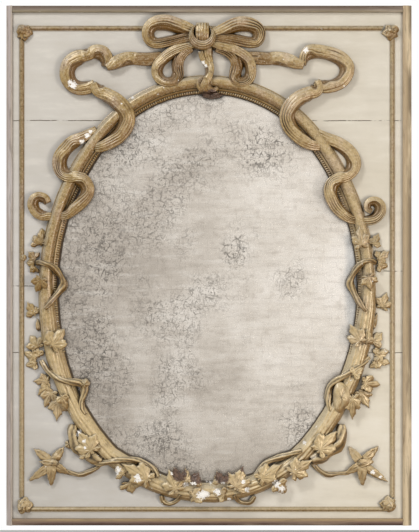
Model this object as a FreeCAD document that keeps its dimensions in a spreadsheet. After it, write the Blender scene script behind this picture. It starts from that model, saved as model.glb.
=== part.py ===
"""A carved and gilt trumeau mirror: an oval glass in a boarded overmantel panel.

Origin: the centre of the oval on the wall plane. +Z is up, the front faces -Y.
Heights called "rise" are measured forward from the front of the boarded panel.
"""

import FreeCAD, Part

import math
import os

import Sketcher
from FreeCAD import Placement, Rotation, Vector

SIZES = (
    # the sight oval: four arcs that meet at the turn bearing of the side arcs
    ("sight_half_width", 452),
    ("sight_half_height", 586),
    ("oval_turn", 40.1),
    # boards and frame, from the edge of the oval moulding outwards
    ("margin_left", 79),
    ("margin_right", 80.5),
    ("margin_top", 188),
    ("margin_bottom", 52.5),
    ("board_thickness", 20),
    ("joint_top", 505),
    ("joint_left", 6),
    ("joint_right", 51),
    ("joint_low", 195),
    ("groove_depth", 6),
    ("stile_left_width", 18.1),
    ("stile_right_width", 26.6),
    ("rail_width", 20.5),
    ("frame_depth", 55),
    ("lip_radius", 5),
    ("lip_step", 1.6),
    ("crown_radius", 34),
    ("crown_fall", 5),
    # the gilt bead nailed on the panel
    ("bead_gap_left", 20.4),
    ("bead_gap_right", 23.5),
    ("bead_gap_top", 40),
    ("bead_gap_bottom", 20.5),
    ("bead_width", 14.3),
    ("bead_quirk", 1.5),
    ("bead_spring", 3.5),
    ("round_share", 0.53),
    # oval moulding: a slip at the glass, a half-round torus and an outer fillet
    ("slip_width", 16),
    ("slip_toe", 3),
    ("slip_height", 11),
    ("slip_shoulder", 7),
    ("slip_crest", 7),
    ("slip_gap", 1),
    ("torus_width", 34),
    ("torus_spring", 13),
    ("torus_round", 17),
    ("torus_flats", 4),
    ("fillet_width", 5),
    ("fillet_height", 4),
    # glass and back
    ("glass_clearance", 2),
    ("glass_setback", 5),
    ("glass_thickness", 4),
    ("block_length", 46),
    ("block_width", 20),
    ("back_lap", 30),
    ("back_thickness", 10),
    ("batten_width", 60),
    ("batten_thickness", 22),
    ("batten_gap", 4),
    ("batten_inset", 24),
    ("bar_width", 70),
    ("plate_width", 36),
    ("plate_length", 130),
    ("plate_thickness", 3),
    ("plate_drop", 30),
    ("eye_radius", 5),
    ("eye_drop", 26),
    ("eye_pocket", 9),
    ("eye_pocket_depth", 12),
    # carving
    ("knot_above_sight", 170),
    ("knot_left", 14.8),
    ("ribbon_edge", 0.55),
    ("ribbon_step", 21),
    ("inner_bend", 0.8),
    ("hover_thickness", 16),
    ("hover_gap", 3),
    ("seat_gap", 0.3),
    ("scribe_steps", 20),
    ("least_share", 0.02),
    ("least_thickness", 10),
    ("leaf_swell", 12),
    ("stem_crown", 0.56),
    ("stem_step", 26),
    ("corner_radius", 26),
    ("corner_rise", 24),
    ("corner_ridges", 6),
)

# Ribbons and stems, station by station: bearing on the oval in degrees, offset outside the sight
# edge, width and rise.
RUN_LEFT = (
    (103.3, 133, 39, 20), (105.7, 142, 39, 24), (108.5, 156, 36, 24), (110.9, 164, 29, 26),
    (113.1, 172, 23, 26), (114.5, 179, 18, 24),
)
BEND_LEFT = (
    (113.7, 176, 21, 26), (113.4, 200, 30, 28), (114.7, 226, 38, 28), (117.4, 240, 39, 28),
    (119.7, 257, 39, 28), (121.5, 260, 39, 28), (122.9, 248, 39, 28), (123.7, 229, 38, 28),
    (123.7, 206, 36, 28), (122.8, 180, 36, 28), (121.2, 161, 35, 28), (119.6, 143, 27, 26),
)
COIL_LEFT = (
    (119.6, 155, 24, 30), (119.0, 129, 33, 34), (117.3, 103, 36, 40), (115.8, 73, 38, 46),
    (114.8, 36, 39, 48), (114.9, 8, 39, 46), (116.7, -8, 38, 44), (119.6, -17, 36, 42),
    (123.3, -10, 36, 40), (126.5, 5, 33, 36), (128.8, 22, 27, 26),
)
TAIL_LEFT = (
    (124.9, 53, 24, 20), (129.2, 71, 33, 24), (132.6, 90, 38, 26), (135.4, 97, 39, 26),
    (138.0, 99, 39, 26), (140.1, 91, 39, 26), (141.5, 73, 36, 30), (141.3, 49, 36, 36),
    (139.8, 22, 36, 44), (138.8, -4, 36, 48), (139.8, -25, 36, 46), (142.1, -32, 36, 44),
    (145.3, -26, 36, 42), (148.8, -13, 33, 40), (152.2, 4, 29, 34), (154.3, 25, 24, 22),
)
CURL_LEFT = (
    (155.2, 47, 23, 22), (155.9, 62, 26, 24), (156.5, 81, 27, 24), (156.0, 102, 27, 24),
    (154.6, 116, 27, 24), (152.8, 118, 26, 24), (151.3, 106, 24, 22), (150.9, 85, 24, 22),
    (151.8, 72, 20, 20),
)
RUN_RIGHT = (
    (78.7, 125, 39, 20), (75.8, 133, 39, 24), (72.6, 153, 39, 24), (70.2, 161, 33, 26),
    (68.2, 164, 27, 26), (66.4, 169, 18, 24),
)
BEND_RIGHT = (
    (66.0, 174, 20, 26), (66.8, 192, 29, 28), (66.4, 216, 36, 28), (64.3, 238, 39, 28),
    (61.8, 248, 39, 28), (59.3, 254, 39, 28), (57.3, 250, 39, 28), (56.2, 234, 38, 28),
    (56.5, 206, 36, 28), (57.9, 177, 36, 28), (59.8, 152, 35, 28), (61.7, 131, 27, 26),
)
COIL_RIGHT = (
    (61.2, 144, 24, 30), (61.9, 117, 33, 34), (63.4, 93, 36, 40), (64.9, 62, 38, 46),
    (65.7, 32, 39, 48), (65.3, 5, 39, 46), (63.2, -11, 39, 44), (60.6, -18, 36, 42),
    (57.3, -12, 36, 40), (54.2, 4, 33, 36), (51.7, 24, 27, 26),
)
TAIL_RIGHT = (
    (54.7, 45, 24, 20), (51.3, 59, 33, 24), (48.5, 75, 38, 26), (45.5, 88, 39, 26),
    (42.7, 94, 39, 26), (40.3, 89, 39, 26), (39.0, 71, 36, 30), (38.9, 48, 36, 36),
    (39.8, 22, 36, 44), (40.1, -3, 36, 46), (38.6, -20, 36, 46), (35.6, -25, 36, 46),
    (31.9, -20, 35, 42), (28.3, -7, 32, 40), (25.8, 10, 27, 34), (24.3, 29, 24, 22),
)
CURL_RIGHT = (
    (23.5, 42, 23, 22), (22.9, 58, 26, 24), (22.5, 80, 27, 24), (23.3, 99, 27, 24),
    (24.9, 110, 27, 24), (26.7, 108, 26, 22), (27.7, 92, 24, 22), (27.1, 76, 20, 20),
)
# The bow, station by station: x and z from the centre of the knot, width and rise.
LOOP_UPPER_LEFT = (
    (-31, 16, 18, 34), (-55, 31, 24, 32), (-83, 46, 26, 32), (-111, 56, 26, 30), (-140, 52, 26, 30),
    (-161, 35, 26, 30), (-168, 11, 24, 30), (-159, -8, 23, 28), (-138, -18, 21, 28),
    (-113, -14, 20, 26), (-83, -8, 18, 28), (-52, -5, 17, 30), (-31, -5, 15, 32),
)
LOOP_UPPER_RIGHT = (
    (32, 8, 17, 34), (53, 17, 20, 32), (74, 31, 26, 32), (97, 45, 27, 30), (123, 50, 29, 30),
    (150, 42, 29, 30), (169, 23, 29, 30), (173, 2, 27, 30), (165, -14, 26, 28), (147, -21, 24, 28),
    (119, -18, 20, 26), (86, -11, 18, 28), (53, -8, 17, 30), (32, -8, 14, 32),
)
LOOP_LOWER_LEFT = (
    (-28, -19, 18, 26), (-65, -27, 23, 26), (-95, -43, 26, 26), (-120, -63, 26, 26),
    (-137, -88, 26, 26), (-137, -114, 24, 26), (-122, -132, 23, 34), (-98, -140, 20, 38),
    (-77, -132, 17, 34), (-66, -112, 15, 28), (-65, -87, 15, 26), (-58, -64, 14, 26),
    (-43, -48, 12, 26), (-25, -40, 11, 26),
)
LOOP_LOWER_RIGHT = (
    (29, -18, 18, 26), (62, -24, 21, 26), (89, -33, 24, 26), (115, -48, 26, 26), (133, -69, 26, 26),
    (144, -93, 26, 26), (147, -117, 24, 26), (135, -135, 23, 34), (116, -142, 20, 38),
    (97, -135, 17, 34), (88, -117, 15, 28), (89, -96, 15, 26), (88, -75, 15, 26), (79, -57, 14, 26),
    (61, -46, 11, 26), (35, -40, 9, 26),
)
DROP_FRONT = (
    (9, -39, 27, 30), (15, -66, 30, 28), (21, -93, 30, 30), (25, -117, 29, 42), (20, -141, 27, 46),
    (14, -165, 26, 44), (11, -185, 18, 36),
)
DROP_BACK = (
    (5, -105, 18, 34), (-6, -132, 24, 42), (-7, -159, 26, 42), (0, -183, 20, 34),
)
KNOT_RING = (
    (0, 41, 57, 28), (0, 26, 78, 36), (0, 0, 86, 42), (0, -25, 78, 36), (0, -40, 51, 28),
)
KNOT_STRAP = (
    (0, 44, 36, 38), (0, 25, 42, 48), (0, 0, 44, 52), (0, -25, 42, 48), (0, -43, 33, 38),
)
# Sprays. Leaves: bearing and offset of the base, then of the tip, width, lobes a side and least
# rise. Buds: bearing, offset, half width, half height and rise.
STEM_LEFT_UPPER = (
    (171.6, 68, 12, 14), (171.3, 54, 14, 32), (171.5, 37, 15, 40), (171.9, 19, 15, 38),
    (173.3, 2, 15, 32), (175.8, -14, 15, 28), (178.5, -20, 20, 28), (181.1, -9, 17, 30),
    (183.4, 6, 15, 36), (185.6, 22, 14, 40), (187.2, 37, 11, 38),
)
LEAVES_LEFT_UPPER = (
    (166.8, 61, 163.0, 87, 30, 1), (167.8, 58, 160.0, 68, 33, 1), (171.2, 61, 168.6, 93, 30, 1),
    (171.7, 61, 172.0, 97, 27, 1), (172.1, 62, 174.8, 83, 27, 1), (174.5, 39, 181.3, 62, 39, 2),
    (190.7, 66, 184.6, 90, 33, 1), (195.0, 68, 190.0, 66, 12, 1),
)
BERRIES_LEFT_UPPER = (
    (170.7, 108, 10, 10, 12),
)
STEM_LEFT_LOWER = (
    (203.4, 81, 12, 14), (207.2, 70, 15, 26), (210.7, 50, 15, 38), (213.0, 31, 17, 42),
    (214.8, 11, 17, 42), (216.5, -7, 20, 34), (218.8, -16, 20, 30), (220.8, -4, 17, 28),
    (222.0, 13, 15, 28), (223.9, 22, 14, 28), (226.0, 21, 11, 26),
)
LEAVES_LEFT_LOWER = (
    (201.3, 75, 194.9, 94, 42, 2), (202.1, 58, 195.7, -12, 54, 2), (203.8, 80, 199.2, 124, 30, 1),
    (203.9, 81, 203.1, 131, 27, 1), (203.8, 80, 198.5, 91, 27, 1), (211.4, 62, 208.3, 122, 36, 2),
    (211.8, 67, 212.4, 125, 33, 1), (212.2, 65, 216.4, 123, 39, 2), (214.7, 58, 221.2, 108, 45, 2),
    (214.4, 57, 221.0, 63, 27, 1),
)
KNOB_LEFT = (
    (218.0, -20, 15, 15, 36),
)
STEM_LEFT_FOOT = (
    (227.7, 86, 9, 12), (229.3, 96, 11, 14), (231.8, 102, 12, 16), (235.3, 98, 14, 18),
    (237.9, 84, 15, 24), (239.7, 64, 15, 36), (242.0, 38, 15, 42), (244.5, 15, 15, 40),
    (247.4, -1, 15, 32), (250.6, -10, 15, 30), (253.3, -6, 14, 32), (255.4, 9, 12, 36),
)
LEAVES_LEFT_FOOT = (
    (236.7, 78, 229.2, 65, 60, 2), (235.9, 89, 231.1, 99, 27, 1),
)
BUD_LEFT = (
    (228.4, 118, 13, 14, 14),
)
STEM_SPRAY_LEFT = (
    (232.3, 176, 12, 12), (234.3, 163, 12, 12), (235.9, 149, 14, 13), (237.0, 127, 12, 14),
    (238.2, 102, 12, 16), (238.9, 81, 11, 18),
)
LEAVES_SPRAY_LEFT = (
    (226.9, 187, 223.1, 215, 30, 1), (227.2, 182, 227.9, 141, 30, 1),
    (227.9, 207, 227.1, 280, 33, 1), (229.1, 202, 231.6, 236, 33, 1),
)
FLOWER_LEFT = (
    (228.5, 189, 30, 24, 24), (232.4, 173, 15, 14, 18),
)
LEAVES_FOOT_LEFT = (
    (247.2, 58, 242.7, 51, 36, 1), (247.5, 56, 249.8, 93, 51, 2), (247.9, 57, 252.0, 24, 24, 1),
    (262.6, 52, 258.1, -19, 54, 2), (263.3, 18, 259.4, -33, 30, 1), (264.1, 16, 263.1, -40, 27, 1),
    (265.3, 17, 267.1, -31, 36, 1), (263.6, 47, 270.8, 29, 36, 2),
)
TENDRIL_LEFT = (
    (262.6, 43, 12, 34), (262.0, 61, 12, 16), (260.2, 78, 12, 12), (258.4, 77, 12, 12),
    (257.5, 61, 11, 18),
)
LEAVES_FOOT_RIGHT = (
    (274.2, 14, 273.0, -34, 33, 1), (275.7, 16, 276.6, -27, 27, 1), (276.8, 45, 281.2, -31, 54, 2),
    (277.2, 37, 282.4, 8, 33, 1), (276.3, 44, 271.7, 27, 33, 1),
)
TENDRIL_RIGHT = (
    (277.5, 44, 12, 34), (278.2, 63, 12, 16), (279.7, 75, 12, 12), (281.4, 77, 12, 12),
    (282.8, 64, 11, 18),
)
STEM_RIGHT_FOOT = (
    (300.2, 20, 14, 40), (296.6, 5, 15, 36), (293.3, -6, 15, 30), (289.2, -15, 15, 30),
    (286.6, -9, 14, 32), (284.4, 3, 12, 38),
)
LEAVES_RIGHT_FOOT = (
    (289.2, 36, 291.0, 95, 36, 1), (291.8, 51, 301.0, 64, 54, 2), (299.9, 42, 307.6, 76, 36, 1),
)
BUD_RIGHT = (
    (310.6, 102, 11, 15, 14),
)
STEM_SPRAY_RIGHT = (
    (301.0, 74, 12, 16), (301.5, 104, 12, 14), (302.8, 134, 14, 13), (305.2, 156, 12, 13),
    (307.2, 175, 12, 13), (309.0, 181, 12, 14),
)
LEAVES_SPRAY_RIGHT = (
    (311.2, 169, 311.6, 130, 30, 1), (312.8, 190, 316.9, 205, 33, 1),
    (310.7, 198, 308.3, 234, 33, 1), (311.9, 211, 313.1, 284, 33, 1),
)
FLOWER_RIGHT = (
    (311.2, 190, 27, 26, 24),
)
STEM_RIGHT_UPPER = (
    (8.4, 61, 12, 14), (9.5, 43, 14, 32), (9.6, 24, 15, 40), (8.1, 4, 15, 36), (5.3, -13, 15, 30),
    (2.0, -24, 20, 28), (359.0, -15, 17, 30), (356.2, -3, 15, 36), (353.7, 12, 14, 40),
    (351.7, 28, 11, 36),
)
LEAVES_RIGHT_UPPER = (
    (13.1, 48, 17.5, 81, 30, 1), (8.7, 52, 11.4, 102, 33, 1), (8.2, 51, 6.9, 96, 30, 1),
    (12.1, 19, 22.2, 27, 39, 2), (6.5, 29, 359.3, 39, 39, 2), (351.4, 71, 358.4, 89, 39, 2),
    (345.0, 57, 351.6, 64, 12, 1),
)
STEM_RIGHT_LOWER = (
    (337.0, 65, 12, 14), (334.4, 52, 15, 24), (331.2, 32, 15, 38), (328.1, 13, 17, 42),
    (324.5, -7, 18, 38), (321.1, -16, 18, 30), (318.6, -9, 17, 28), (316.5, 2, 15, 28),
    (315.0, 20, 12, 28),
)
LEAVES_RIGHT_LOWER = (
    (339.5, 55, 345.7, 85, 39, 1), (338.7, 43, 345.6, -16, 42, 2), (339.0, 50, 345.7, 37, 30, 1),
    (336.7, 67, 341.0, 117, 33, 1), (336.5, 68, 337.7, 131, 30, 1), (336.4, 68, 335.1, 107, 27, 1),
    (327.5, 21, 333.0, 55, 30, 1), (327.5, 50, 330.9, 125, 39, 2), (327.2, 55, 323.7, 119, 42, 2),
    (325.8, 45, 318.0, 92, 36, 2),
)
BERRY_RIGHT = (
    (337.1, 89, 9, 9, 16),
)
BURL_RIGHT = (
    (320.8, 28, 27, 47, 46),
)

doc = FreeCAD.newDocument("TrumeauMirror")


# ---------------------------------------------------------------- sizes


def make_sheet():
    """The spreadsheet of driving sizes, one alias to each."""
    sheet = doc.addObject("Spreadsheet::Sheet", "sizes")
    for row, (name, value) in enumerate(SIZES, 1):
        sheet.set("A%d" % row, name)
        sheet.set("B%d" % row, str(value))
        sheet.setAlias("B%d" % row, name)
    doc.recompute()
    return sheet


sheet = make_sheet()


def size(name):
    """One value read from the sheet."""
    return float(getattr(sheet, name))


# expressions that more than one piece shares
TURN = "sizes.oval_turn"
SIDE_SHIFT = (
    "((sizes.sight_half_height - sizes.sight_half_width) / (1 + tan(%s) - 1 / cos(%s)))"
    % (TURN, TURN)
)
END_SHIFT = "(%s * tan(%s))" % (SIDE_SHIFT, TURN)
SIDE_RADIUS = "(sizes.sight_half_width + %s)" % SIDE_SHIFT
END_RADIUS = "(sizes.sight_half_height - %s)" % END_SHIFT
TORUS_IN = "(sizes.slip_width + sizes.slip_gap)"
TORUS_OUT = "(%s + sizes.torus_width)" % TORUS_IN
OVAL_WIDTH = "(%s + sizes.fillet_width)" % TORUS_OUT
PANEL_LEFT = "(sizes.sight_half_width + %s + sizes.margin_left)" % OVAL_WIDTH
PANEL_RIGHT = "(sizes.sight_half_width + %s + sizes.margin_right)" % OVAL_WIDTH
PANEL_TOP = "(sizes.sight_half_height + %s + sizes.margin_top)" % OVAL_WIDTH
PANEL_BOTTOM = "(sizes.sight_half_height + %s + sizes.margin_bottom)" % OVAL_WIDTH
BOARD_BACK = "sizes.batten_thickness"
BOARD_FRONT = "(sizes.batten_thickness + sizes.board_thickness)"
GLASS_FRONT = "(%s - sizes.glass_setback)" % BOARD_FRONT
GLASS_OFFSET = "(sizes.slip_width - sizes.glass_clearance)"
BATTEN_IN = (
    "(sizes.sight_half_width + sizes.slip_width + sizes.back_lap + sizes.batten_gap)"
)


# ---------------------------------------------------------------- builders


def value_of(expression):
    """The number that an expression on the sheet gives now."""
    return float(sheet.evalExpression(str(expression)))


def origin_plane(body, role):
    """The body's own origin plane of that role."""
    return next(f for f in body.Origin.OriginFeatures if f.Role == role)


def arc_between(start, end, radius, middle):
    """An arc of this radius that bulges away from the middle, or towards it if negative."""
    chord = end - start
    centre = (start + end) * 0.5
    out = Vector(-chord.y, chord.x, 0).normalize()
    if (out.dot(centre - middle) < 0) != (radius < 0):
        out = out * -1
    drop = math.sqrt(max(radius * radius - chord.Length**2 / 4, 0))
    centre = centre - out * drop
    first, last = start - centre, end - centre
    if first.cross(last).z < 0:
        first, last = last, first
    begin = math.atan2(first.y, first.x)
    sweep = first.getAngle(last)
    circle = Part.Circle(centre, Vector(0, 0, 1), abs(radius))
    return Part.ArcOfCircle(circle, begin, begin + sweep)


def driven_section(body, role, corners, name):
    """A closed sketch on one of the body's planes, its corners and radii bound to the sheet.

    A corner is (x, y) or (x, y, radius), where the radius bends the edge that leaves it.
    """
    sketch = body.newObject("Sketcher::SketchObject", name)
    sketch.AttachmentSupport = [(origin_plane(body, role), "")]
    sketch.MapMode = "FlatFace"
    points = [Vector(value_of(c[0]), value_of(c[1]), 0) for c in corners]
    middle = sum(points, Vector()) * (1 / len(points))
    count = len(points)
    for i, corner in enumerate(corners):
        start, end = points[i], points[(i + 1) % count]
        if len(corner) == 3:
            edge = arc_between(start, end, value_of(corner[2]), middle)
        else:
            edge = Part.LineSegment(start, end)
        sketch.addGeometry(edge)

    def end_at(index, point):
        near = (sketch.Geometry[index].StartPoint - point).Length < 1e-6
        return 1 if near else 2

    for i, corner in enumerate(corners):
        before = (i - 1) % count
        here = end_at(i, points[i])
        sketch.addConstraint(
            Sketcher.Constraint("Coincident", before, end_at(before, points[i]), i, here)
        )
        for kind, expression, number in (
            ("DistanceX", corner[0], points[i].x),
            ("DistanceY", corner[1], points[i].y),
        ):
            index = sketch.addConstraint(Sketcher.Constraint(kind, -1, 1, i, here, number))
            sketch.setExpression("Constraints[%d]" % index, str(expression))
        if len(corner) == 3:
            radius = abs(value_of(corner[2]))
            index = sketch.addConstraint(Sketcher.Constraint("Radius", i, radius))
            sketch.setExpression("Constraints[%d]" % index, str(corner[2]).lstrip("-"))
    return sketch


def place(item, x=None, y=None, z=None, turn=None):
    """Set a piece's Placement: bound coordinates and a fixed turn about Y in degrees."""
    if turn:
        item.Placement = Placement(Vector(), Rotation(Vector(0, 1, 0), turn))
    for axis, expression in (("x", x), ("y", y), ("z", z)):
        if expression is not None:
            item.setExpression("Placement.Base." + axis, expression)


def padded(label, role, corners, length, **where):
    """A body that is one driven section padded to a bound length."""
    body = doc.addObject("PartDesign::Body", label)
    sketch = driven_section(body, role, corners, label + "_section")
    pad = body.newObject("PartDesign::Pad", label + "_pad")
    pad.Profile = sketch
    pad.setExpression("Length", length)
    place(body, **where)
    return body


def box(label, length, width, height, x, y, z):
    """A Part::Box with every size and its place bound to the sheet."""
    item = doc.addObject("Part::Box", label)
    item.setExpression("Length", length)
    item.setExpression("Width", width)
    item.setExpression("Height", height)
    place(item, x, y, z)
    return item


def cut(label, base, tools):
    """The base less one or more tools."""
    if len(tools) > 1:
        tool = doc.addObject("Part::MultiFuse", label + "_tools")
        tool.Shapes = tools
    else:
        tool = tools[0]
    item = doc.addObject("Part::Cut", label)
    item.Base = base
    item.Tool = tool
    return item


def feature(label, shape):
    """A Part::Feature that holds a shape made here from the sheet's values."""
    item = doc.addObject("Part::Feature", label)
    item.Shape = shape
    item.Placement = Placement()
    return item


# ---------------------------------------------------------------- outer frame


def frame_section(width):
    """Across the frame from the panel outwards, and forward from the wall."""
    lip = "sizes.lip_radius"
    return (
        ("0", "0"),
        ("0", BOARD_BACK),
        ("sizes.groove_depth", BOARD_BACK),
        ("sizes.groove_depth", BOARD_FRONT),
        ("0", BOARD_FRONT),
        ("0", "sizes.frame_depth - %s" % lip, "sizes.lip_radius * 1.001"),
        (lip, "sizes.frame_depth"),
        (lip, "sizes.frame_depth - sizes.lip_step", "sizes.crown_radius"),
        (width, "sizes.frame_depth - sizes.lip_step - sizes.crown_fall"),
        (width, "0"),
    )


def make_stile(label, width, side, x):
    """A full-height upright of the outer frame, grooved for the board ends."""
    corners = [
        ("%s(%s)" % (side, c[0]), "-(%s)" % c[1]) + c[2:] for c in frame_section(width)
    ]
    height = "%s + %s + 2 * sizes.rail_width" % (PANEL_TOP, PANEL_BOTTOM)
    foot = "-(%s + sizes.rail_width)" % PANEL_BOTTOM
    return padded(label, "XY_Plane", corners, height, x=x, z=foot)


def make_rail(label, side, z):
    """A cross rail of the outer frame, butted between the stiles."""
    corners = [
        ("-(%s)" % c[1], "%s(%s)" % (side, c[0])) + c[2:]
        for c in frame_section("sizes.rail_width")
    ]
    length = "%s + %s" % (PANEL_LEFT, PANEL_RIGHT)
    return padded(label, "YZ_Plane", corners, length, x="-" + PANEL_LEFT, z=z)


# ---------------------------------------------------------------- panel boards


def oval_corners(offset):
    """The sight oval moved outwards by an offset, as four arcs."""
    x = "(%s + %s) * cos(%s) - %s" % (SIDE_RADIUS, offset, TURN, SIDE_SHIFT)
    z = "(%s + %s) * sin(%s)" % (SIDE_RADIUS, offset, TURN)
    end = "%s + %s" % (END_RADIUS, offset)
    side = "%s + %s" % (SIDE_RADIUS, offset)
    return (
        (x, z, end),
        ("-(%s)" % x, z, side),
        ("-(%s)" % x, "-(%s)" % z, end),
        (x, "-(%s)" % z, side),
    )


def make_opening():
    """The oval that is sawn out of the boards."""
    depth = "sizes.board_thickness + 2"
    y = "-(%s - 1)" % BOARD_BACK
    return padded("opening", "XZ_Plane", oval_corners("sizes.slip_width"), depth, y=y)


def make_board(label, left, right, low, high, opening):
    """One plank of the panel between two levels, less the oval opening."""
    plank = box(
        label + "_plank",
        "%s - (%s)" % (right, left),
        "sizes.board_thickness",
        "%s - (%s)" % (high, low),
        left,
        "-" + BOARD_FRONT,
        low,
    )
    return cut(label, plank, [opening])


def make_boards():
    """The six planks, glued edge to edge and housed in the frame's groove."""
    opening = make_opening()
    left = "-(%s + sizes.groove_depth)" % PANEL_LEFT
    right = "(%s + sizes.groove_depth)" % PANEL_RIGHT
    top = "(%s + sizes.groove_depth)" % PANEL_TOP
    bottom = "-(%s + sizes.groove_depth)" % PANEL_BOTTOM
    low = "-sizes.joint_low"
    rows = (
        ("panel_board_top", left, right, "sizes.joint_top", top),
        ("panel_board_upper_left", left, "0", "sizes.joint_left", "sizes.joint_top"),
        ("panel_board_upper_right", "0", right, "sizes.joint_right", "sizes.joint_top"),
        ("panel_board_middle_left", left, "0", low, "sizes.joint_left"),
        ("panel_board_middle_right", "0", right, low, "sizes.joint_right"),
        ("panel_board_bottom", left, right, bottom, low),
    )
    return [make_board(*row, opening) for row in rows]


# ---------------------------------------------------------------- gilt bead


BEAD_TOP = "(%s - sizes.bead_gap_top)" % PANEL_TOP
BEAD_BOTTOM = "-(%s - sizes.bead_gap_bottom)" % PANEL_BOTTOM
BEAD_LEFT = "-(%s - sizes.bead_gap_left)" % PANEL_LEFT
BEAD_RIGHT = "(%s - sizes.bead_gap_right)" % PANEL_RIGHT


def bead_section():
    """Across the bead, and forward from the panel."""
    far = "(sizes.bead_width - sizes.bead_quirk)"
    radius = "(sizes.bead_width - 2 * sizes.bead_quirk) * sizes.round_share"
    return (
        ("0", "0"),
        ("0", "sizes.bead_spring"),
        ("sizes.bead_quirk", "sizes.bead_spring", radius),
        (far, "sizes.bead_spring"),
        ("sizes.bead_width", "sizes.bead_spring"),
        ("sizes.bead_width", "0"),
    )


def make_bead_upright(label, side, x):
    """A vertical length of the gilt bead."""
    corners = [("%s(%s)" % (side, c[0]), "-(%s)" % c[1]) + c[2:] for c in bead_section()]
    height = "%s - (%s) - 2 * sizes.bead_width" % (BEAD_TOP, BEAD_BOTTOM)
    z = "%s + sizes.bead_width" % BEAD_BOTTOM
    return padded(label, "XY_Plane", corners, height, x=x, y="-" + BOARD_FRONT, z=z)


def make_bead_level(label, side, z):
    """A horizontal length of the gilt bead, which stops where the uprights do."""
    corners = [("-(%s)" % c[1], "%s(%s)" % (side, c[0])) + c[2:] for c in bead_section()]
    length = "%s - (%s) - 2 * sizes.bead_width" % (BEAD_RIGHT, BEAD_LEFT)
    x = "%s + sizes.bead_width" % BEAD_LEFT
    return padded(label, "YZ_Plane", corners, length, x=x, y="-" + BOARD_FRONT, z=z)


# ---------------------------------------------------------------- oval moulding


def torus_section():
    """The torus, planed in flats, and its outer fillet: offset from the sight edge, rise."""
    flats = int(size("torus_flats"))
    round_part = [
        (
            "%s + sizes.torus_width * (1 - cos(180 * %d / %d)) / 2" % (TORUS_IN, k, flats),
            "sizes.torus_spring + sizes.torus_round * sin(180 * %d / %d)" % (k, flats),
        )
        for k in range(flats + 1)
    ]
    return (
        [(TORUS_IN, "0")]
        + round_part
        + [
            (TORUS_OUT, "sizes.fillet_height"),
            (OVAL_WIDTH, "sizes.fillet_height"),
            (OVAL_WIDTH, "0"),
        ]
    )


def slip_section():
    """The sight slip: it laps the glass and lines the sawn opening."""
    return (
        ("0", "-sizes.glass_setback"),
        ("0", "sizes.slip_toe"),
        ("sizes.slip_crest", "sizes.slip_height"),
        ("sizes.slip_width", "sizes.slip_shoulder"),
        ("sizes.slip_width", "-sizes.glass_setback"),
    )


def make_arc(label, section, quarter):
    """One of the four arcs of an oval moulding, revolved about its own centre."""
    on_side = quarter in ("right", "left")
    radius = SIDE_RADIUS if on_side else END_RADIUS
    sweep = "2 * %s" % TURN if on_side else "180 - 2 * %s" % TURN
    turn = {"right": 0, "left": 180, "top": -90, "bottom": 90}[quarter]
    shift = {
        "right": {"x": "-" + SIDE_SHIFT},
        "left": {"x": SIDE_SHIFT},
        "top": {"z": END_SHIFT},
        "bottom": {"z": "-" + END_SHIFT},
    }[quarter]
    corners = [
        ("%s + (%s)" % (radius, c[0]), "-(%s + (%s))" % (BOARD_FRONT, c[1])) + c[2:]
        for c in section
    ]
    body = doc.addObject("PartDesign::Body", label)
    sketch = driven_section(body, "XY_Plane", corners, label + "_section")
    arc = body.newObject("PartDesign::Revolution", label + "_arc")
    arc.Profile = sketch
    arc.ReferenceAxis = (sketch, ["V_Axis"])
    arc.Midplane = True
    arc.setExpression("Angle", sweep)
    place(body, turn=turn, **shift)
    return body


# ---------------------------------------------------------------- glass and back


def make_glass():
    """The mirror plate, silvered on its back."""
    back = "-(%s - sizes.glass_thickness)" % GLASS_FRONT
    outline = oval_corners(GLASS_OFFSET)
    return padded("mirror_glass", "XZ_Plane", outline, "sizes.glass_thickness", y=back)


def make_blocks():
    """Glue blocks that hold the glass against the slip, set round the opening."""
    front = value_of(GLASS_FRONT) - size("glass_thickness")
    back = size("batten_thickness")
    blocks = []
    for bearing in range(15, 375, 30):
        block = Part.makeBox(
            size("block_width"), front - back, size("block_length"),
            Vector(-size("block_width"), -front, -size("block_length") / 2),
        )
        # the ends of a straight block stay clear of the curved edge
        reach = size("slip_width") - size("glass_clearance")
        x, z = on_oval(bearing, reach - 2)
        square = Rotation(Vector(0, 1, 0), -square_to_oval(x, z))
        block.Placement = Placement(Vector(x, 0, z), square)
        blocks.append(block)
    return feature("glazing_blocks", Part.makeCompound(blocks))


def make_back_boards():
    """Three thin boards that close the back of the opening."""
    half = "(sizes.sight_half_width + sizes.slip_width + sizes.back_lap)"
    high = "(sizes.sight_half_height + sizes.slip_width + sizes.back_lap)"
    boards = []
    for step, name in enumerate(("bottom", "middle", "top")):
        boards.append(
            box(
                "back_board_" + name,
                "2 * " + half,
                "sizes.back_thickness",
                "2 * %s / 3" % high,
                "-" + half,
                "-" + BOARD_BACK,
                "-%s + %d * 2 * %s / 3" % (high, step, high),
            )
        )
    return boards


def make_bar():
    """The middle bar that holds the back boards and bears on the wall."""
    out = "(%s + sizes.batten_width)" % BATTEN_IN
    depth = "(sizes.batten_thickness - sizes.back_thickness)"
    return box(
        "back_bar", "2 * " + out, depth, "sizes.bar_width",
        "-" + out, "-" + depth, "-sizes.bar_width / 2",
    )


def hole(label, radius, depth, x, y, z):
    """A round tool that runs forward from the wall."""
    item = doc.addObject("Part::Cylinder", label)
    item.setExpression("Radius", radius)
    item.setExpression("Height", depth)
    item.Placement = Placement(Vector(), Rotation(Vector(1, 0, 0), -90))
    place(item, x, y, z)
    return item


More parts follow.
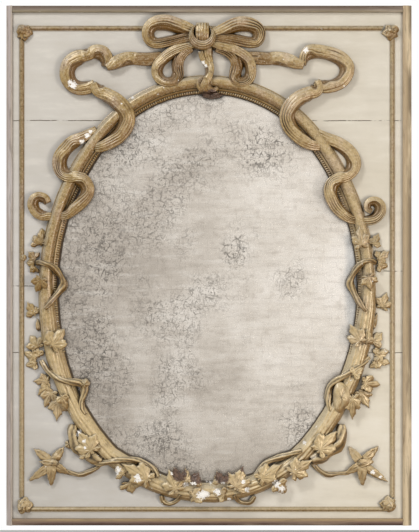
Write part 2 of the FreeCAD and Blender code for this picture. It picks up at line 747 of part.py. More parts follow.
def make_batten(side, sign):
    """An upright batten, housed for the bar and recessed for its hanging plate."""
    name = "back_batten_" + side
    x = "%s(%s + sizes.batten_width / 2)" % (sign, BATTEN_IN)
    top = "(%s - sizes.batten_inset)" % PANEL_TOP
    low = "-(%s - sizes.batten_inset)" % PANEL_BOTTOM
    strip = box(
        name + "_strip", "sizes.batten_width", "sizes.batten_thickness",
        "%s - (%s)" % (top, low), x + " - sizes.batten_width / 2",
        "-sizes.batten_thickness", low,
    )
    bar_depth = "(sizes.batten_thickness - sizes.back_thickness)"
    housing = box(
        name + "_housing", "sizes.batten_width + 2", bar_depth, "sizes.bar_width",
        x + " - sizes.batten_width / 2 - 1", "-" + bar_depth, "-sizes.bar_width / 2",
    )
    plate_top = "(%s - sizes.plate_drop)" % top
    recess = box(
        name + "_recess", "sizes.plate_width", "sizes.plate_thickness",
        "sizes.plate_length", x + " - sizes.plate_width / 2",
        "-sizes.plate_thickness", plate_top + " - sizes.plate_length",
    )
    eye_z = plate_top + " - sizes.eye_drop"
    pocket = box(
        name + "_pocket", "2 * sizes.eye_pocket", "sizes.eye_pocket_depth",
        "2 * sizes.eye_pocket", x + " - sizes.eye_pocket",
        "-sizes.eye_pocket_depth", eye_z + " - sizes.eye_pocket",
    )
    batten = cut(name, strip, [housing, recess, pocket])
    plate = box(
        "plate_%s_blank" % side, "sizes.plate_width", "sizes.plate_thickness",
        "sizes.plate_length", x + " - sizes.plate_width / 2",
        "-sizes.plate_thickness", plate_top + " - sizes.plate_length",
    )
    eye = hole(
        "plate_%s_eye" % side, "sizes.eye_radius", "sizes.plate_thickness + 2",
        x, "-sizes.plate_thickness - 1", eye_z,
    )
    return [batten, cut("hanging_plate_" + side, plate, [eye])]


# ---------------------------------------------------------------- carving: where it lies


def on_oval(bearing, offset):
    """The point on a ray from the oval's centre, this far beyond the sight edge."""
    angle = math.radians(bearing)
    turn = math.radians(size("oval_turn"))
    shift, rise = value_of(SIDE_SHIFT), value_of(END_SHIFT)
    side, end = value_of(SIDE_RADIUS), value_of(END_RADIUS)
    c, s = abs(math.cos(angle)), abs(math.sin(angle))
    reach = -shift * c + math.sqrt(side**2 - (shift * s) ** 2)
    if reach * s > (reach * c + shift) * math.tan(turn):
        reach = rise * s + math.sqrt(end**2 - (rise * c) ** 2)
    reach += offset
    return reach * math.cos(angle), reach * math.sin(angle)


def offset_at(x, z):
    """How far outside the sight edge a point of the elevation lies."""
    turn = math.radians(size("oval_turn"))
    shift, rise = value_of(SIDE_SHIFT), value_of(END_SHIFT)
    if abs(z) < (abs(x) + shift) * math.tan(turn):
        return math.hypot(abs(x) + shift, z) - value_of(SIDE_RADIUS)
    return math.hypot(x, abs(z) - rise) - value_of(END_RADIUS)


def square_to_oval(x, z):
    """The bearing in degrees that stands square to the oval near a place."""
    turn = math.radians(value_of(TURN))
    shift = value_of(SIDE_SHIFT)
    if abs(z) < (abs(x) + shift) * math.tan(turn):
        return math.degrees(math.atan2(z, x + math.copysign(shift, x)))
    return math.degrees(math.atan2(z - math.copysign(value_of(END_SHIFT), z), x))


def back_at(x, z, front):
    """The rise of a carved strip's back: on the panel, on the moulding or over the glass."""
    offset = offset_at(x, z)
    spring = size("slip_height")
    if offset >= size("slip_width") + size("torus_width"):
        return 0
    if offset >= size("slip_width"):
        return spring
    return max(spring + size("hover_gap"), min(front - size("hover_thickness"), torus_top()))


def torus_top():
    """The rise of the back of what lies across the torus."""
    return size("torus_spring") + size("torus_round") + size("seat_gap")


def ground(x, z):
    """The rise that a carved back has to keep clear of at a place of the elevation."""
    offset = offset_at(x, z) - size("slip_width") - size("slip_gap")
    width = size("torus_width")
    if offset > width + size("fillet_width"):
        return 0
    if offset > width:
        return size("fillet_height") + size("seat_gap")
    if offset < 0:
        return size("slip_height") + size("seat_gap")
    crest = abs(2 * offset / width - 1)
    return torus_top() - size("torus_round") * (1 - math.sqrt(max(0, 1 - crest**2)))


def scribe_outline(bow):
    """The oval moulding's section with a seat gap: offset from the sight edge, rise."""
    gap = size("seat_gap")
    inner = size("slip_width") + size("slip_gap")
    outer = inner + size("torus_width")
    edge = outer + size("fillet_width") + gap + bow
    flats = int(size("torus_flats"))
    section = [(-gap, -1), (-gap, size("slip_toe") + gap)]
    section.append((size("slip_crest"), size("slip_height") + gap))
    section.append((inner - gap, size("slip_height") + gap))
    for k in range(flats + 1):
        side = math.pi * k / flats
        clear = gap + bow if 2 * k > flats else -gap
        section.append((
            inner + size("torus_width") * (1 - math.cos(side)) / 2 + clear,
            size("torus_spring") + size("torus_round") * math.sin(side) + gap,
        ))
    section.append((outer + gap + bow, size("fillet_height") + gap))
    return section + [(edge, size("fillet_height") + gap), (edge, -1)]


def scribe_ring():
    """The ring that trims what lies against the oval moulding, on short chords."""
    turn, steps = size("oval_turn"), int(size("scribe_steps"))
    across, along = value_of(SIDE_SHIFT), value_of(END_SHIFT)
    side, end = value_of(SIDE_RADIUS), value_of(END_RADIUS)
    arcs = (
        (-across, 0, side, -turn, turn),
        (0, along, end, turn, 180 - turn),
        (across, 0, side, 180 - turn, 180 + turn),
        (0, -along, end, 180 + turn, 360 - turn),
    )
    vertices, facets = [], []
    for x, z, radius, start, stop in arcs:
        step = math.radians(stop - start) / steps
        bow = (radius + value_of(OVAL_WIDTH)) * (1 - math.cos(step / 2))
        for i in range(steps):
            angle = math.radians(start) + step * i
            for offset, rise in scribe_outline(bow):
                reach = radius + offset
                vertices.append(
                    point(x + reach * math.cos(angle), z + reach * math.sin(angle), rise)
                )
    sides = len(vertices) // (4 * steps)
    for i in range(4 * steps):
        for k in range(sides):
            a, b = sides * i + k, sides * i + (k + 1) % sides
            c, d = (b + sides) % len(vertices), (a + sides) % len(vertices)
            facets += [(a, b, c), (a, c, d)]
    return facet_solid(vertices, facets)


def facet_solid(vertices, facets):
    """A closed solid of flat facets."""
    corners = [[vertices[i] for i in facet] for facet in facets]
    if sum(a.dot(b.cross(c)) for a, b, c in corners) < 0:
        facets = [(a, c, b) for a, b, c in facets]
    shell = Part.Shape()
    shell.makeShapeFromMesh((vertices, facets), 0.001, True)
    return Part.Solid(shell.Shells[0] if shell.ShapeType != "Shell" else shell)


def point(x, z, rise):
    """A point of the elevation at a rise from the panel."""
    return Vector(x, -value_of(BOARD_FRONT) - rise, z)


# ---------------------------------------------------------------- carving: bands and stems


def smooth(stations, step):
    """Stations of a Catmull-Rom line through the given ones, about one step apart."""
    first = [2 * a - b for a, b in zip(stations[0], stations[1])]
    last = [2 * a - b for a, b in zip(stations[-1], stations[-2])]
    line = [first] + [list(s) for s in stations] + [last]
    out = []
    for a, b, c, d in zip(line, line[1:], line[2:], line[3:]):
        length = math.hypot(c[0] - b[0], c[1] - b[1])
        parts = max(1, round(length / step))
        for i in range(parts):
            t = i / parts
            out.append([
                0.5 * (2 * q + (r - p) * t + (2 * p - 5 * q + 4 * r - w) * t**2
                       + (3 * q - p - 3 * r + w) * t**3)
                for p, q, r, w in zip(a, b, c, d)
            ])
    out.append(list(stations[-1]))
    return out


def bend(before, here, after):
    """The curvature of a line at one station, positive where it turns to its left."""
    ax, az = here[0] - before[0], here[1] - before[1]
    bx, bz = after[0] - here[0], after[1] - here[1]
    chord = math.hypot(ax + bx, az + bz)
    scale = math.hypot(ax, az) * math.hypot(bx, bz) * chord
    return 2 * (ax * bz - az * bx) / scale if scale else 0.0


def band(stations, profile, step):
    """A strip along stations of (x, z, width, rise), with its section as shares of those."""
    line = smooth(stations, step)
    vertices, facets = [], []
    for i, (x, z, width, rise) in enumerate(line):
        before, after = line[max(i - 1, 0)], line[min(i + 1, len(line) - 1)]
        dx, dz = after[0] - before[0], after[1] - before[1]
        length = math.hypot(dx, dz)
        nx, nz = -dz / length, dx / length
        turn = bend(before, line[i], after)
        for across, share in profile:
            reach = width * across
            if turn * reach > size("inner_bend"):
                reach = size("inner_bend") / turn
            px, pz = x + nx * reach, z + nz * reach
            back = back_at(px, pz, rise)
            front = max(rise, back_at(x, z, rise) + size("least_thickness"))
            vertices.append(point(px, pz, back + (front - back) * share))
    sides = len(profile)
    for i in range(len(line) - 1):
        for k in range(sides):
            a, b = sides * i + k, sides * i + (k + 1) % sides
            facets += [(a, b, b + sides), (a, b + sides, a + sides)]
    end = sides * (len(line) - 1)
    for k in range(1, sides - 1):
        facets += [(0, k + 1, k), (end, end + k, end + k + 1)]
    return facet_solid(vertices, facets)


def ribbon(stations):
    """A crowned ribbon with upright edges."""
    edge = size("ribbon_edge")
    profile = ((-0.5, 0), (-0.5, edge), (0, 1), (0.5, edge), (0.5, 0))
    return band(stations, profile, size("ribbon_step"))


def stem(stations):
    """A rounded stem."""
    crown = size("stem_crown") / 2
    profile = ((-0.5, 0), (-crown, 1), (crown, 1), (0.5, 0))
    return band(stations, profile, size("stem_step"))


def riding(rows):
    """Stations given by (bearing, offset, width, rise), which ride on the oval."""
    return [on_oval(bearing, offset) + (width, rise) for bearing, offset, width, rise in rows]


def hung(rows):
    """Stations given from the centre of the bow's knot."""
    x, z = -size("knot_left"), size("sight_half_height") + size("knot_above_sight")
    return [(x + dx, z + dz, width, rise) for dx, dz, width, rise in rows]


# ---------------------------------------------------------------- carving: leaves and buds


def leaf(base, tip, width, lobes):
    """A lobed leaf that rises from its edges to a midrib, from one end's ground to the other's."""
    length = math.hypot(tip[0] - base[0], tip[1] - base[1])
    ux, uz = (tip[0] - base[0]) / length, (tip[1] - base[1]) / length
    low, high = ground(*base), ground(*tip)
    outline = []
    for lobe in range(1, lobes + 1):
        at = (lobe - 0.45) / (lobes + 0.55)
        reach = width / 2 * (0.45 + 0.55 * math.sin(math.pi * (0.25 + 0.6 * at)))
        outline += [(at + 0.1, reach), (at + 0.22, reach * 0.55)]

    def at_leaf(along, across, swell):
        x = base[0] + ux * along * length - uz * across
        z = base[1] + uz * along * length + ux * across
        return point(x, z, low + (high - low) * along + swell)

    rim = [(0.0, 0.0)] + outline + [(1.0, 0.0)] + [(along, -w) for along, w in outline[::-1]]
    vertices = [at_leaf(along, across, 0) for along, across in rim]
    vertices.append(at_leaf(0.45, 0, size("leaf_swell")))
    vertices.append(at_leaf(0.45, 0, 0))
    count, facets = len(rim), []
    for i in range(count):
        after = (i + 1) % count
        facets += [(i, after, count), (after, i, count + 1)]
    return facet_solid(vertices, facets).removeSplitter()


def dome(x, z, half_width, half_height, rise, ridges=3, twist=0.0):
    """A ridged bud: rings of alternate ridge and furrow that close on a crown."""
    count = 2 * ridges
    floor = ground(x, z)
    rings = ((1.0, 0.0), (0.85, 0.65))
    vertices, facets = [], []
    for step, (share, level) in enumerate(rings):
        for k in range(count):
            angle = 2 * math.pi * k / count + twist * step
            furrow = 0.9 if k % 2 and step else 1.0
            dx = half_width * share * furrow * math.cos(angle)
            dz = half_height * share * furrow * math.sin(angle)
            vertices.append(point(x + dx, z + dz, floor + (rise - floor) * level))
    vertices.append(point(x, z, rise))
    vertices.append(point(x, z, floor))
    for step in range(len(rings) - 1):
        for k in range(count):
            a, b = count * step + k, count * step + (k + 1) % count
            facets += [(a, b, b + count), (a, b + count, a + count)]
    last = count * (len(rings) - 1)
    for k in range(count):
        after = (k + 1) % count
        facets.append((last + k, last + after, len(vertices) - 2))
        facets.append((after, k, len(vertices) - 1))
    return facet_solid(vertices, facets).removeSplitter()


def leaves(rows):
    """Leaves given by (bearing, offset) of base and tip, width and lobes."""
    return [leaf(on_oval(*row[:2]), on_oval(*row[2:4]), *row[4:]) for row in rows]


def buds(rows, ridges):
    """Buds given by (bearing, offset), half width, half height and rise."""
    return [dome(*on_oval(*row[:2]), *row[2:], ridges) for row in rows]


# ---------------------------------------------------------------- carving: the pieces


def carved(label, solids, carriers):
    """Fuse the solids of one carving and scribe it to what it lies against."""
    shape = solids[0] if len(solids) == 1 else solids[0].multiFuse(solids[1:])
    near = [c.Shape for c in carriers if c.Shape.BoundBox.intersect(shape.BoundBox)]
    if near:
        shape = shape.cut(near)
    whole = shape.Volume
    kept = [s for s in shape.Solids if s.Volume > size("least_share") * whole]
    return feature(label, kept[0] if len(kept) == 1 else Part.makeCompound(kept))


def make_bow(carriers):
    """The knot, its four loops and the hanging ends."""
    knot = carved("bow_knot", [ribbon(hung(KNOT_RING)), ribbon(hung(KNOT_STRAP))], carriers)
    pieces = [knot]
    drop = carved(
        "bow_drop",
        [ribbon(hung(DROP_FRONT)), ribbon(hung(DROP_BACK))],
        carriers + pieces,
    )
    pieces.append(drop)
    for label, rows in (
        ("bow_loop_upper_left", LOOP_UPPER_LEFT),
        ("bow_loop_upper_right", LOOP_UPPER_RIGHT),
        ("bow_loop_lower_left", LOOP_LOWER_LEFT),
        ("bow_loop_lower_right", LOOP_LOWER_RIGHT),
    ):
        pieces.append(carved(label, [ribbon(hung(rows))], carriers + pieces))
    return pieces


def make_ribbon(side, run, bend, coil, tail, curl, carriers):
    """One side's ribbon: the run from the bow, the coil through the oval and the tail."""
    first = carved(
        "ribbon_run_" + side, [ribbon(riding(run)), ribbon(riding(bend))], carriers
    )
    second = carved("ribbon_coil_" + side, [ribbon(riding(coil))], carriers + [first])
    third = carved(
        "ribbon_tail_" + side,
        [ribbon(riding(tail)), ribbon(riding(curl))],
        carriers + [second],
    )
    return [first, second, third]


def make_spray(label, carriers, stems=(), leaf_rows=(), bud_rows=(), ridges=3):
    """One carved spray of stems, leaves and buds."""
    solids = [stem(riding(rows)) for rows in stems]
    solids += leaves(leaf_rows)
    solids += buds(bud_rows, ridges)
    return carved(label, solids, carriers)


def make_corners():
    """The four ridged corner buds, where the lengths of the gilt bead meet."""
    half = size("bead_width") / 2
    left, right = value_of(BEAD_LEFT) + half, value_of(BEAD_RIGHT) - half
    top, low = value_of(BEAD_TOP) - half, value_of(BEAD_BOTTOM) + half
    radius, rise = size("corner_radius"), size("corner_rise")
    rows = (
        ("corner_knot_top_left", left + 7, top - 11, radius, radius * 0.96, 1, rise),
        ("corner_knot_top_right", right - 6, top - 9, radius * 1.1, radius, -1, rise),
        ("corner_knot_bottom_left", left + 8, low + 12, radius * 0.97, radius * 1.15, -1, rise),
        ("corner_knot_bottom_right", right - 8, low + 14, radius * 0.97, radius * 1.05, 1, rise),
    )
    ridges = int(size("corner_ridges"))
    return [
        feature(label, dome(x, z, wide, high, rise, ridges, 0.16 * side))
        for label, x, z, wide, high, side, rise in rows
    ]


# ---------------------------------------------------------------- assembly


def make_frame():
    """Stiles and rails."""
    return [
        make_stile("outer_stile_left", "sizes.stile_left_width", "-", "-" + PANEL_LEFT),
        make_stile("outer_stile_right", "sizes.stile_right_width", "", PANEL_RIGHT),
        make_rail("outer_rail_top", "", PANEL_TOP),
        make_rail("outer_rail_bottom", "-", "-" + PANEL_BOTTOM),
    ]


def make_beads(knots):
    """The gilt bead round the panel, its ends scribed to the corner buds."""
    bars = [
        make_bead_upright("bead_left", "", BEAD_LEFT),
        make_bead_upright("bead_right", "-", BEAD_RIGHT),
        make_bead_level("bead_top", "-", BEAD_TOP),
        make_bead_level("bead_bottom", "", BEAD_BOTTOM),
    ]
    names = ("left", "right", "top", "bottom")
    met = ((0, 2), (1, 3), (0, 1), (2, 3))
    return [
        cut("inner_moulding_" + name, bar, [knots[i], knots[j]])
        for name, bar, (i, j) in zip(names, bars, met)
    ]


def make_sprays(carriers):
    """The leaves, vines and flowers that climb the oval."""
    pieces = []

    def spray(label, *rows, **more):
        pieces.append(make_spray(label, carriers + pieces, *rows, **more))

    spray("vine_left_upper", [STEM_LEFT_UPPER], LEAVES_LEFT_UPPER, BERRIES_LEFT_UPPER)
    spray("vine_left_lower", [STEM_LEFT_LOWER], LEAVES_LEFT_LOWER, KNOB_LEFT)
    spray("vine_left_foot", [STEM_LEFT_FOOT], LEAVES_LEFT_FOOT, BUD_LEFT)
    spray("flower_spray_left", [STEM_SPRAY_LEFT], LEAVES_SPRAY_LEFT, FLOWER_LEFT, ridges=5)
    spray("leaves_foot_left", [TENDRIL_LEFT], LEAVES_FOOT_LEFT)
    spray("leaves_foot_right", [TENDRIL_RIGHT], LEAVES_FOOT_RIGHT)
    spray("vine_right_foot", [STEM_RIGHT_FOOT], LEAVES_RIGHT_FOOT, BUD_RIGHT)
    spray("flower_spray_right", [STEM_SPRAY_RIGHT], LEAVES_SPRAY_RIGHT, FLOWER_RIGHT, ridges=5)
    spray("vine_right_upper", [STEM_RIGHT_UPPER], LEAVES_RIGHT_UPPER)
    spray(
        "vine_right_lower", [STEM_RIGHT_LOWER], LEAVES_RIGHT_LOWER, BERRY_RIGHT + BURL_RIGHT
    )
    return pieces


def write_parts(pieces):
    """Check every object of the document, then write each piece as a STEP file."""
    doc.recompute()
    for item in doc.Objects:
        bad = {"Invalid", "Error"} & set(item.State)
        if bad:
            raise RuntimeError("%s is %s" % (item.Label, bad))
    for piece in pieces:
        if piece.Shape.isNull() or not piece.Shape.isValid():
            raise RuntimeError("%s has no valid shape" % piece.Label)
    os.makedirs("parts", exist_ok=True)
    for piece in pieces:
        piece.Shape.exportStep("parts/%s.step" % piece.Label)
    print("%d pieces, %d names" % (len(pieces), len({p.Label for p in pieces})))


def make_mirror():
    """The whole mirror."""
    quarters = ("top", "bottom", "left", "right")
    knots = make_corners()
    beads = make_beads(knots)
    ovals = [make_arc("oval_moulding_" + q, torus_section(), q) for q in quarters]
    slips = [make_arc("sight_edge_" + q, slip_section(), q) for q in quarters]
    pieces = make_frame() + make_boards() + knots + beads + ovals + slips
    pieces += [make_glass(), make_blocks(), make_bar()] + make_back_boards()
    pieces += make_batten("left", "-") + make_batten("right", "")
    doc.recompute()
    carriers = beads + [feature("oval_outline", scribe_ring())]
    bow = make_bow(carriers)
    pieces += bow
    near = carriers + bow
    left = make_ribbon("left", RUN_LEFT, BEND_LEFT, COIL_LEFT, TAIL_LEFT, CURL_LEFT, near)
    right = make_ribbon("right", RUN_RIGHT, BEND_RIGHT, COIL_RIGHT, TAIL_RIGHT, CURL_RIGHT, near)
    pieces += left + right + make_sprays(carriers + left + right)
    return pieces


write_parts(make_mirror())
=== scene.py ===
"""The looks of a carved and gilt trumeau mirror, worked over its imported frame.

Lengths in the tables are millimetres, except where a row says photo pixels.
"""

import math

import bmesh
import bpy
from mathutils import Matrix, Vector, noise


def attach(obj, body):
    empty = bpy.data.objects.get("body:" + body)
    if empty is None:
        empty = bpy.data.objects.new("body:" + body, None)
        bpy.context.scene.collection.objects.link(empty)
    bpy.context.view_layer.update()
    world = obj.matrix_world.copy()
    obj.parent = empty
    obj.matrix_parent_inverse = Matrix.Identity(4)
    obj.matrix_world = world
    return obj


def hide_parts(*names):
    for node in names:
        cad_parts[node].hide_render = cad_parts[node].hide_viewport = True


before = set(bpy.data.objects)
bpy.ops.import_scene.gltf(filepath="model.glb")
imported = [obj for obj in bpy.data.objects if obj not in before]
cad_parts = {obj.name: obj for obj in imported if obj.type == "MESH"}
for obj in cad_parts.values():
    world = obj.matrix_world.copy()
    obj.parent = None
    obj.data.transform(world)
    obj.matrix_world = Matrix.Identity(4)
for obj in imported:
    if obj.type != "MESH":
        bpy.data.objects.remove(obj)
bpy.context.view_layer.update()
MM = 0.001

# the oval at the sight edge, four arcs, and the mouldings round it
HALF_WIDTH = 452
HALF_HEIGHT = 586
TURN = math.radians(40.1)
SIDE_SHIFT = (HALF_HEIGHT - HALF_WIDTH) / (1 + math.tan(TURN) - 1 / math.cos(TURN))
END_SHIFT = SIDE_SHIFT * math.tan(TURN)
SIDE_RADIUS = HALF_WIDTH + SIDE_SHIFT
END_RADIUS = HALF_HEIGHT - END_SHIFT
SLIP = 16
TORUS_IN = 17
TORUS_WIDTH = 34
TORUS_OUT = TORUS_IN + TORUS_WIDTH
TORUS_SPRING = 13
TORUS_ROUND = 17
FILLET = 5
# rises above the face of the panel, and how far a ribbon's back stays behind its front
STEP_RISE = 4
SLIP_RISE = 11
GLASS_RISE = -5
BACK_GAP = 26
PANEL_Y = -42

# photo pixels to the elevation
PIXEL = 3.016
PIXEL_X = 207.3
PIXEL_Z = 288


def at(px, py):
    """A place of the elevation, in millimetres, from photo pixels."""
    return (px - PIXEL_X) * PIXEL, (PIXEL_Z - py) * PIXEL


def offset_at(x, z):
    """How far outside the sight edge a place of the elevation lies."""
    if abs(z) < (abs(x) + SIDE_SHIFT) * math.tan(TURN):
        return math.hypot(abs(x) + SIDE_SHIFT, z) - SIDE_RADIUS
    return math.hypot(x, abs(z) - END_SHIFT) - END_RADIUS


def ground(x, z):
    """The rise of what lies under the carving at a place of the elevation."""
    offset = offset_at(x, z) - TORUS_IN
    if offset > TORUS_WIDTH + FILLET:
        return 0
    if offset > TORUS_WIDTH:
        return STEP_RISE
    if offset < 0:
        return SLIP_RISE if offset > -10 else STEP_RISE
    crest = abs(2 * offset / TORUS_WIDTH - 1)
    return TORUS_SPRING + TORUS_ROUND * math.sqrt(max(0, 1 - crest**2))


def under(x, z, front):
    """The rise of the back of a ribbon or stem: on the panel, moulding or over the glass."""
    offset = offset_at(x, z)
    if offset >= SLIP + TORUS_WIDTH:
        return 0
    if offset >= SLIP:
        return SLIP_RISE
    return max(STEP_RISE, min(front - BACK_GAP, 18))


def grain(x, z, size, seed=0.0):
    """Smooth noise of about one, on a grain of this size in millimetres."""
    return noise.noise(Vector((x / size, z / size, seed)))


def stand(name, data):
    """A new object that stands in the scene."""
    item = bpy.data.objects.new(name, data)
    bpy.context.collection.objects.link(item)
    return item


# ---------------------------------------------------------------- materials


def colour(code):
    """A linear colour from an sRGB hex code."""
    parts = [int(code[i : i + 2], 16) / 255 for i in (1, 3, 5)]
    return [c / 12.92 if c <= 0.04045 else ((c + 0.055) / 1.055) ** 2.4 for c in parts] + [1]


def feed(tree, item, inputs):
    """Link or set the inputs of a node; a hex code stands for its colour."""
    for key, value in inputs.items():
        value = value.socket if isinstance(value, Flow) else value
        if isinstance(value, bpy.types.NodeSocket):
            tree.links.new(value, item.inputs[key])
        else:
            item.inputs[key].default_value = colour(value) if isinstance(value, str) else value


def add(tree, kind, inputs=(), **settings):
    """Add a node with its settings, and link or set its inputs."""
    item = tree.nodes.new(kind)
    for name, value in settings.items():
        setattr(item, name, value)
    feed(tree, item, dict(inputs))
    return item


class Flow:
    """What comes out of a node. Its arithmetic adds further nodes."""

    def __init__(self, tree, socket):
        self.tree, self.socket = tree, socket

    def node(self, kind, inputs, output=0, **settings):
        return Flow(self.tree, add(self.tree, kind, inputs, **settings).outputs[output])

    def maths(self, operation, *values):
        return self.node("ShaderNodeMath", dict(enumerate(values)), operation=operation)

    def __add__(self, other):
        return self.maths("ADD", self, other)

    def __radd__(self, other):
        return self.maths("ADD", other, self)

    def __sub__(self, other):
        return self.maths("SUBTRACT", self, other)

    def __rsub__(self, other):
        return self.maths("SUBTRACT", other, self)

    def __mul__(self, other):
        return self.maths("MULTIPLY", self, other)

    def __abs__(self):
        return self.maths("ABSOLUTE", self)

    def most(self, other):
        """The greater of two values."""
        return self.maths("MAXIMUM", self, other)

    def swing(self, amount):
        """Noise as a swing of this amount about 0."""
        return (self - 0.5) * amount

    def between(self, low, high):
        """The value taken from low..high to 0..1, clamped."""
        return self.node(
            "ShaderNodeMapRange", {0: self, 1: low, 2: high}, interpolation_type="SMOOTHSTEP"
        )

    def vector(self, operation, *values, output=0):
        """One node of vector arithmetic."""
        inputs = dict(enumerate((self, *values)))
        return self.node("ShaderNodeVectorMath", inputs, output, operation=operation)

    def axes(self):
        """The x, y and z of a vector."""
        split = add(self.tree, "ShaderNodeSeparateXYZ", {0: self})
        return [Flow(self.tree, socket) for socket in split.outputs]

    def ramp(self, *stops):
        """A colour ramp of (position, hex) stops."""
        item = add(self.tree, "ShaderNodeValToRGB", {0: self})
        elements = item.color_ramp.elements
        while len(elements) < len(stops):
            elements.new(0.5)
        for element, (position, code) in zip(elements, stops):
            element.position, element.color = position, colour(code)
        return Flow(self.tree, item.outputs["Color"])

    def mix(self, mask, other):
        """This colour with another over it, as far as the mask says."""
        inputs = {"Factor": mask, 6: self, 7: other}
        return self.node("ShaderNodeMix", inputs, 2, data_type="RGBA")


class Paint:
    """A material while it is painted: its nodes, and its colour so far."""

    def __init__(self, name, base=None):
        self.material = bpy.data.materials.new(name)
        self.material.use_nodes = True
        self.tree = self.material.node_tree
        found = add(self.tree, "ShaderNodeTexCoord").outputs
        self.place, self.normal = Flow(self.tree, found["Object"]), Flow(self.tree, found["Normal"])
        self.base = base

    def noise(self, size_mm, detail=4, rough=0.6, stretch=(1, 1, 1)):
        """Noise whose grain is a real size, drawn out along an axis by its stretch."""
        scaled = self.place.node(
            "ShaderNodeMapping", {"Vector": self.place, "Scale": [1 / s for s in stretch]}
        )
        return self.place.node(
            "ShaderNodeTexNoise",
            {"Vector": scaled, "Scale": 1000 / size_mm, "Detail": detail, "Roughness": rough},
            "Fac",
        )

    def mark(self, name):
        """A value that the mesh carries at its points."""
        return self.place.node("ShaderNodeAttribute", {}, "Fac", attribute_name=name)

    def occlusion_shade(self, reach_mm):
        """Painted shade: how deep a place lies among what stands within this reach of it, by
        ambient occlusion.
        """
        inputs = {"Distance": reach_mm * MM}
        return 1.0 - self.place.node("ShaderNodeAmbientOcclusion", inputs, "AO", samples=8)

    def tint(self, mask, code, share=None):
        """Lay a colour over the paint where the mask says, at this share of it."""
        self.base = self.base.mix(mask if share is None else mask * share, code)

    def bare_behind(self):
        """Leave browned softwood bare on what faces the wall."""
        veined = self.noise(5, 6, 0.7, (14, 1, 1))
        bare = veined.ramp((0.3, "#55402c"), (0.55, "#7c6044"), (0.75, "#967757"))
        self.tint(self.normal.axes()[1].between(0.6, 0.8), bare)

    def finish(self, rough, metal=0.0, relief=None, deep_mm=0.8, strength=0.6):
        """Give the shader its colour, roughness and relief; the finished material."""
        inputs = {"Base Color": self.base, "Roughness": rough, "Metallic": metal}
        if relief is not None:
            bump = {"Height": relief, "Distance": deep_mm * MM, "Strength": strength}
            inputs["Normal"] = relief.node("ShaderNodeBump", bump)
        feed(self.tree, self.tree.nodes["Principled BSDF"], inputs)
        return self.material


def make_gilding(name, darker):
    """Water gilding toned with size: painted light and dust above, painted shade in deep gold
    below, rubbed on the ridges, dark with grime and painted shade in the hollows, with white gesso
    or bare wood where it is lost."""
    paint = Paint(name)
    hollow = paint.mark("hollow")
    across, _, up = paint.place.axes()
    faces_right, _, faces_up = paint.normal.axes()
    patches = paint.noise(70, 3)
    mottle = paint.noise(10, 5, 0.65)
    fine = paint.noise(3.4, 3, 0.7)
    paint.base = mottle.ramp(
        (0.3, "#684f25"), (0.44, "#937843"), (0.6, "#ab9160"), (0.78, "#cdb98f")
    )
    rosy = mottle.ramp((0.3, "#735a40"), (0.5, "#a18768"), (0.72, "#c6b093"))
    paint.tint(patches.between(0.48, 0.66), rosy)
    # painted light: the right side and the foot are laid lighter
    paint.tint(across.between(-0.1, 0.6), "#d8c49c", 0.34)
    paint.tint(up.between(0.1, -0.35), "#e0c99a", 0.62)
    # painted light and dust lie on what faces up and to the left, and painted shade lays deeper
    # gold on what faces down
    dust_and_light_facing = faces_up - faces_right * 0.55
    paint.tint(dust_and_light_facing.between(0.05, 0.85), "#d3cab2", 0.55)
    paint.tint(dust_and_light_facing.between(0.15, -0.6), "#7a5418", 0.8)
    # the inner face and side walls of a ribbon have kept a deeper gold, laid darker still as
    # painted shade where they face away
    paint.tint(paint.mark("lining"), "#6f4d1a", 0.8)
    # grime in the hollows, with painted shade where the carving is closed in by what stands round
    # it
    grime_and_shade = hollow * 0.95 + paint.occlusion_shade(11) + mottle.swing(0.6)
    paint.tint(grime_and_shade.between(0.25, 1.1), "#3a2b19", 0.95)
    # the tone of the size lies on in darker clouds
    paint.tint(paint.noise(32).between(0.52, 0.72), "#64491f", 0.36)
    # ridges rubbed to the pale ground
    paint.tint(hollow.between(0.14, 0.0) * fine.between(0.47, 0.66), "#dccfb6", 0.42)
    raw = paint.mark("bare") + fine.swing(0.6)
    paint.tint(raw.between(0.36, 0.5), mottle.ramp((0.35, "#3c291f"), (0.7, "#7b5f4b")))
    ragged = paint.mark("lost") + paint.noise(7, 3, 0.7).swing(1.7)
    specks = paint.noise(13, 2).between(0.69, 0.76) * 0.6
    white = (ragged + specks).between(0.46, 0.54)
    paint.tint(white, "#f3efe9")
    paint.tint(darker, "#4a3822")
    return paint.finish(0.15 + (white + mottle) * 0.28, 0.12, mottle + fine * 0.4 - white, 1.1, 0.5)


# cracks along the joints of the boards: height, from and to along x, in millimetres
JOINTS = ((505, -590, 594), (6, -593, -500), (51, 498, 594), (-195, -593, -470), (-195, 455, 594))
CRACK_HALF = 0.5
CRACK_FADE = 1.7
CRACK_END = 8


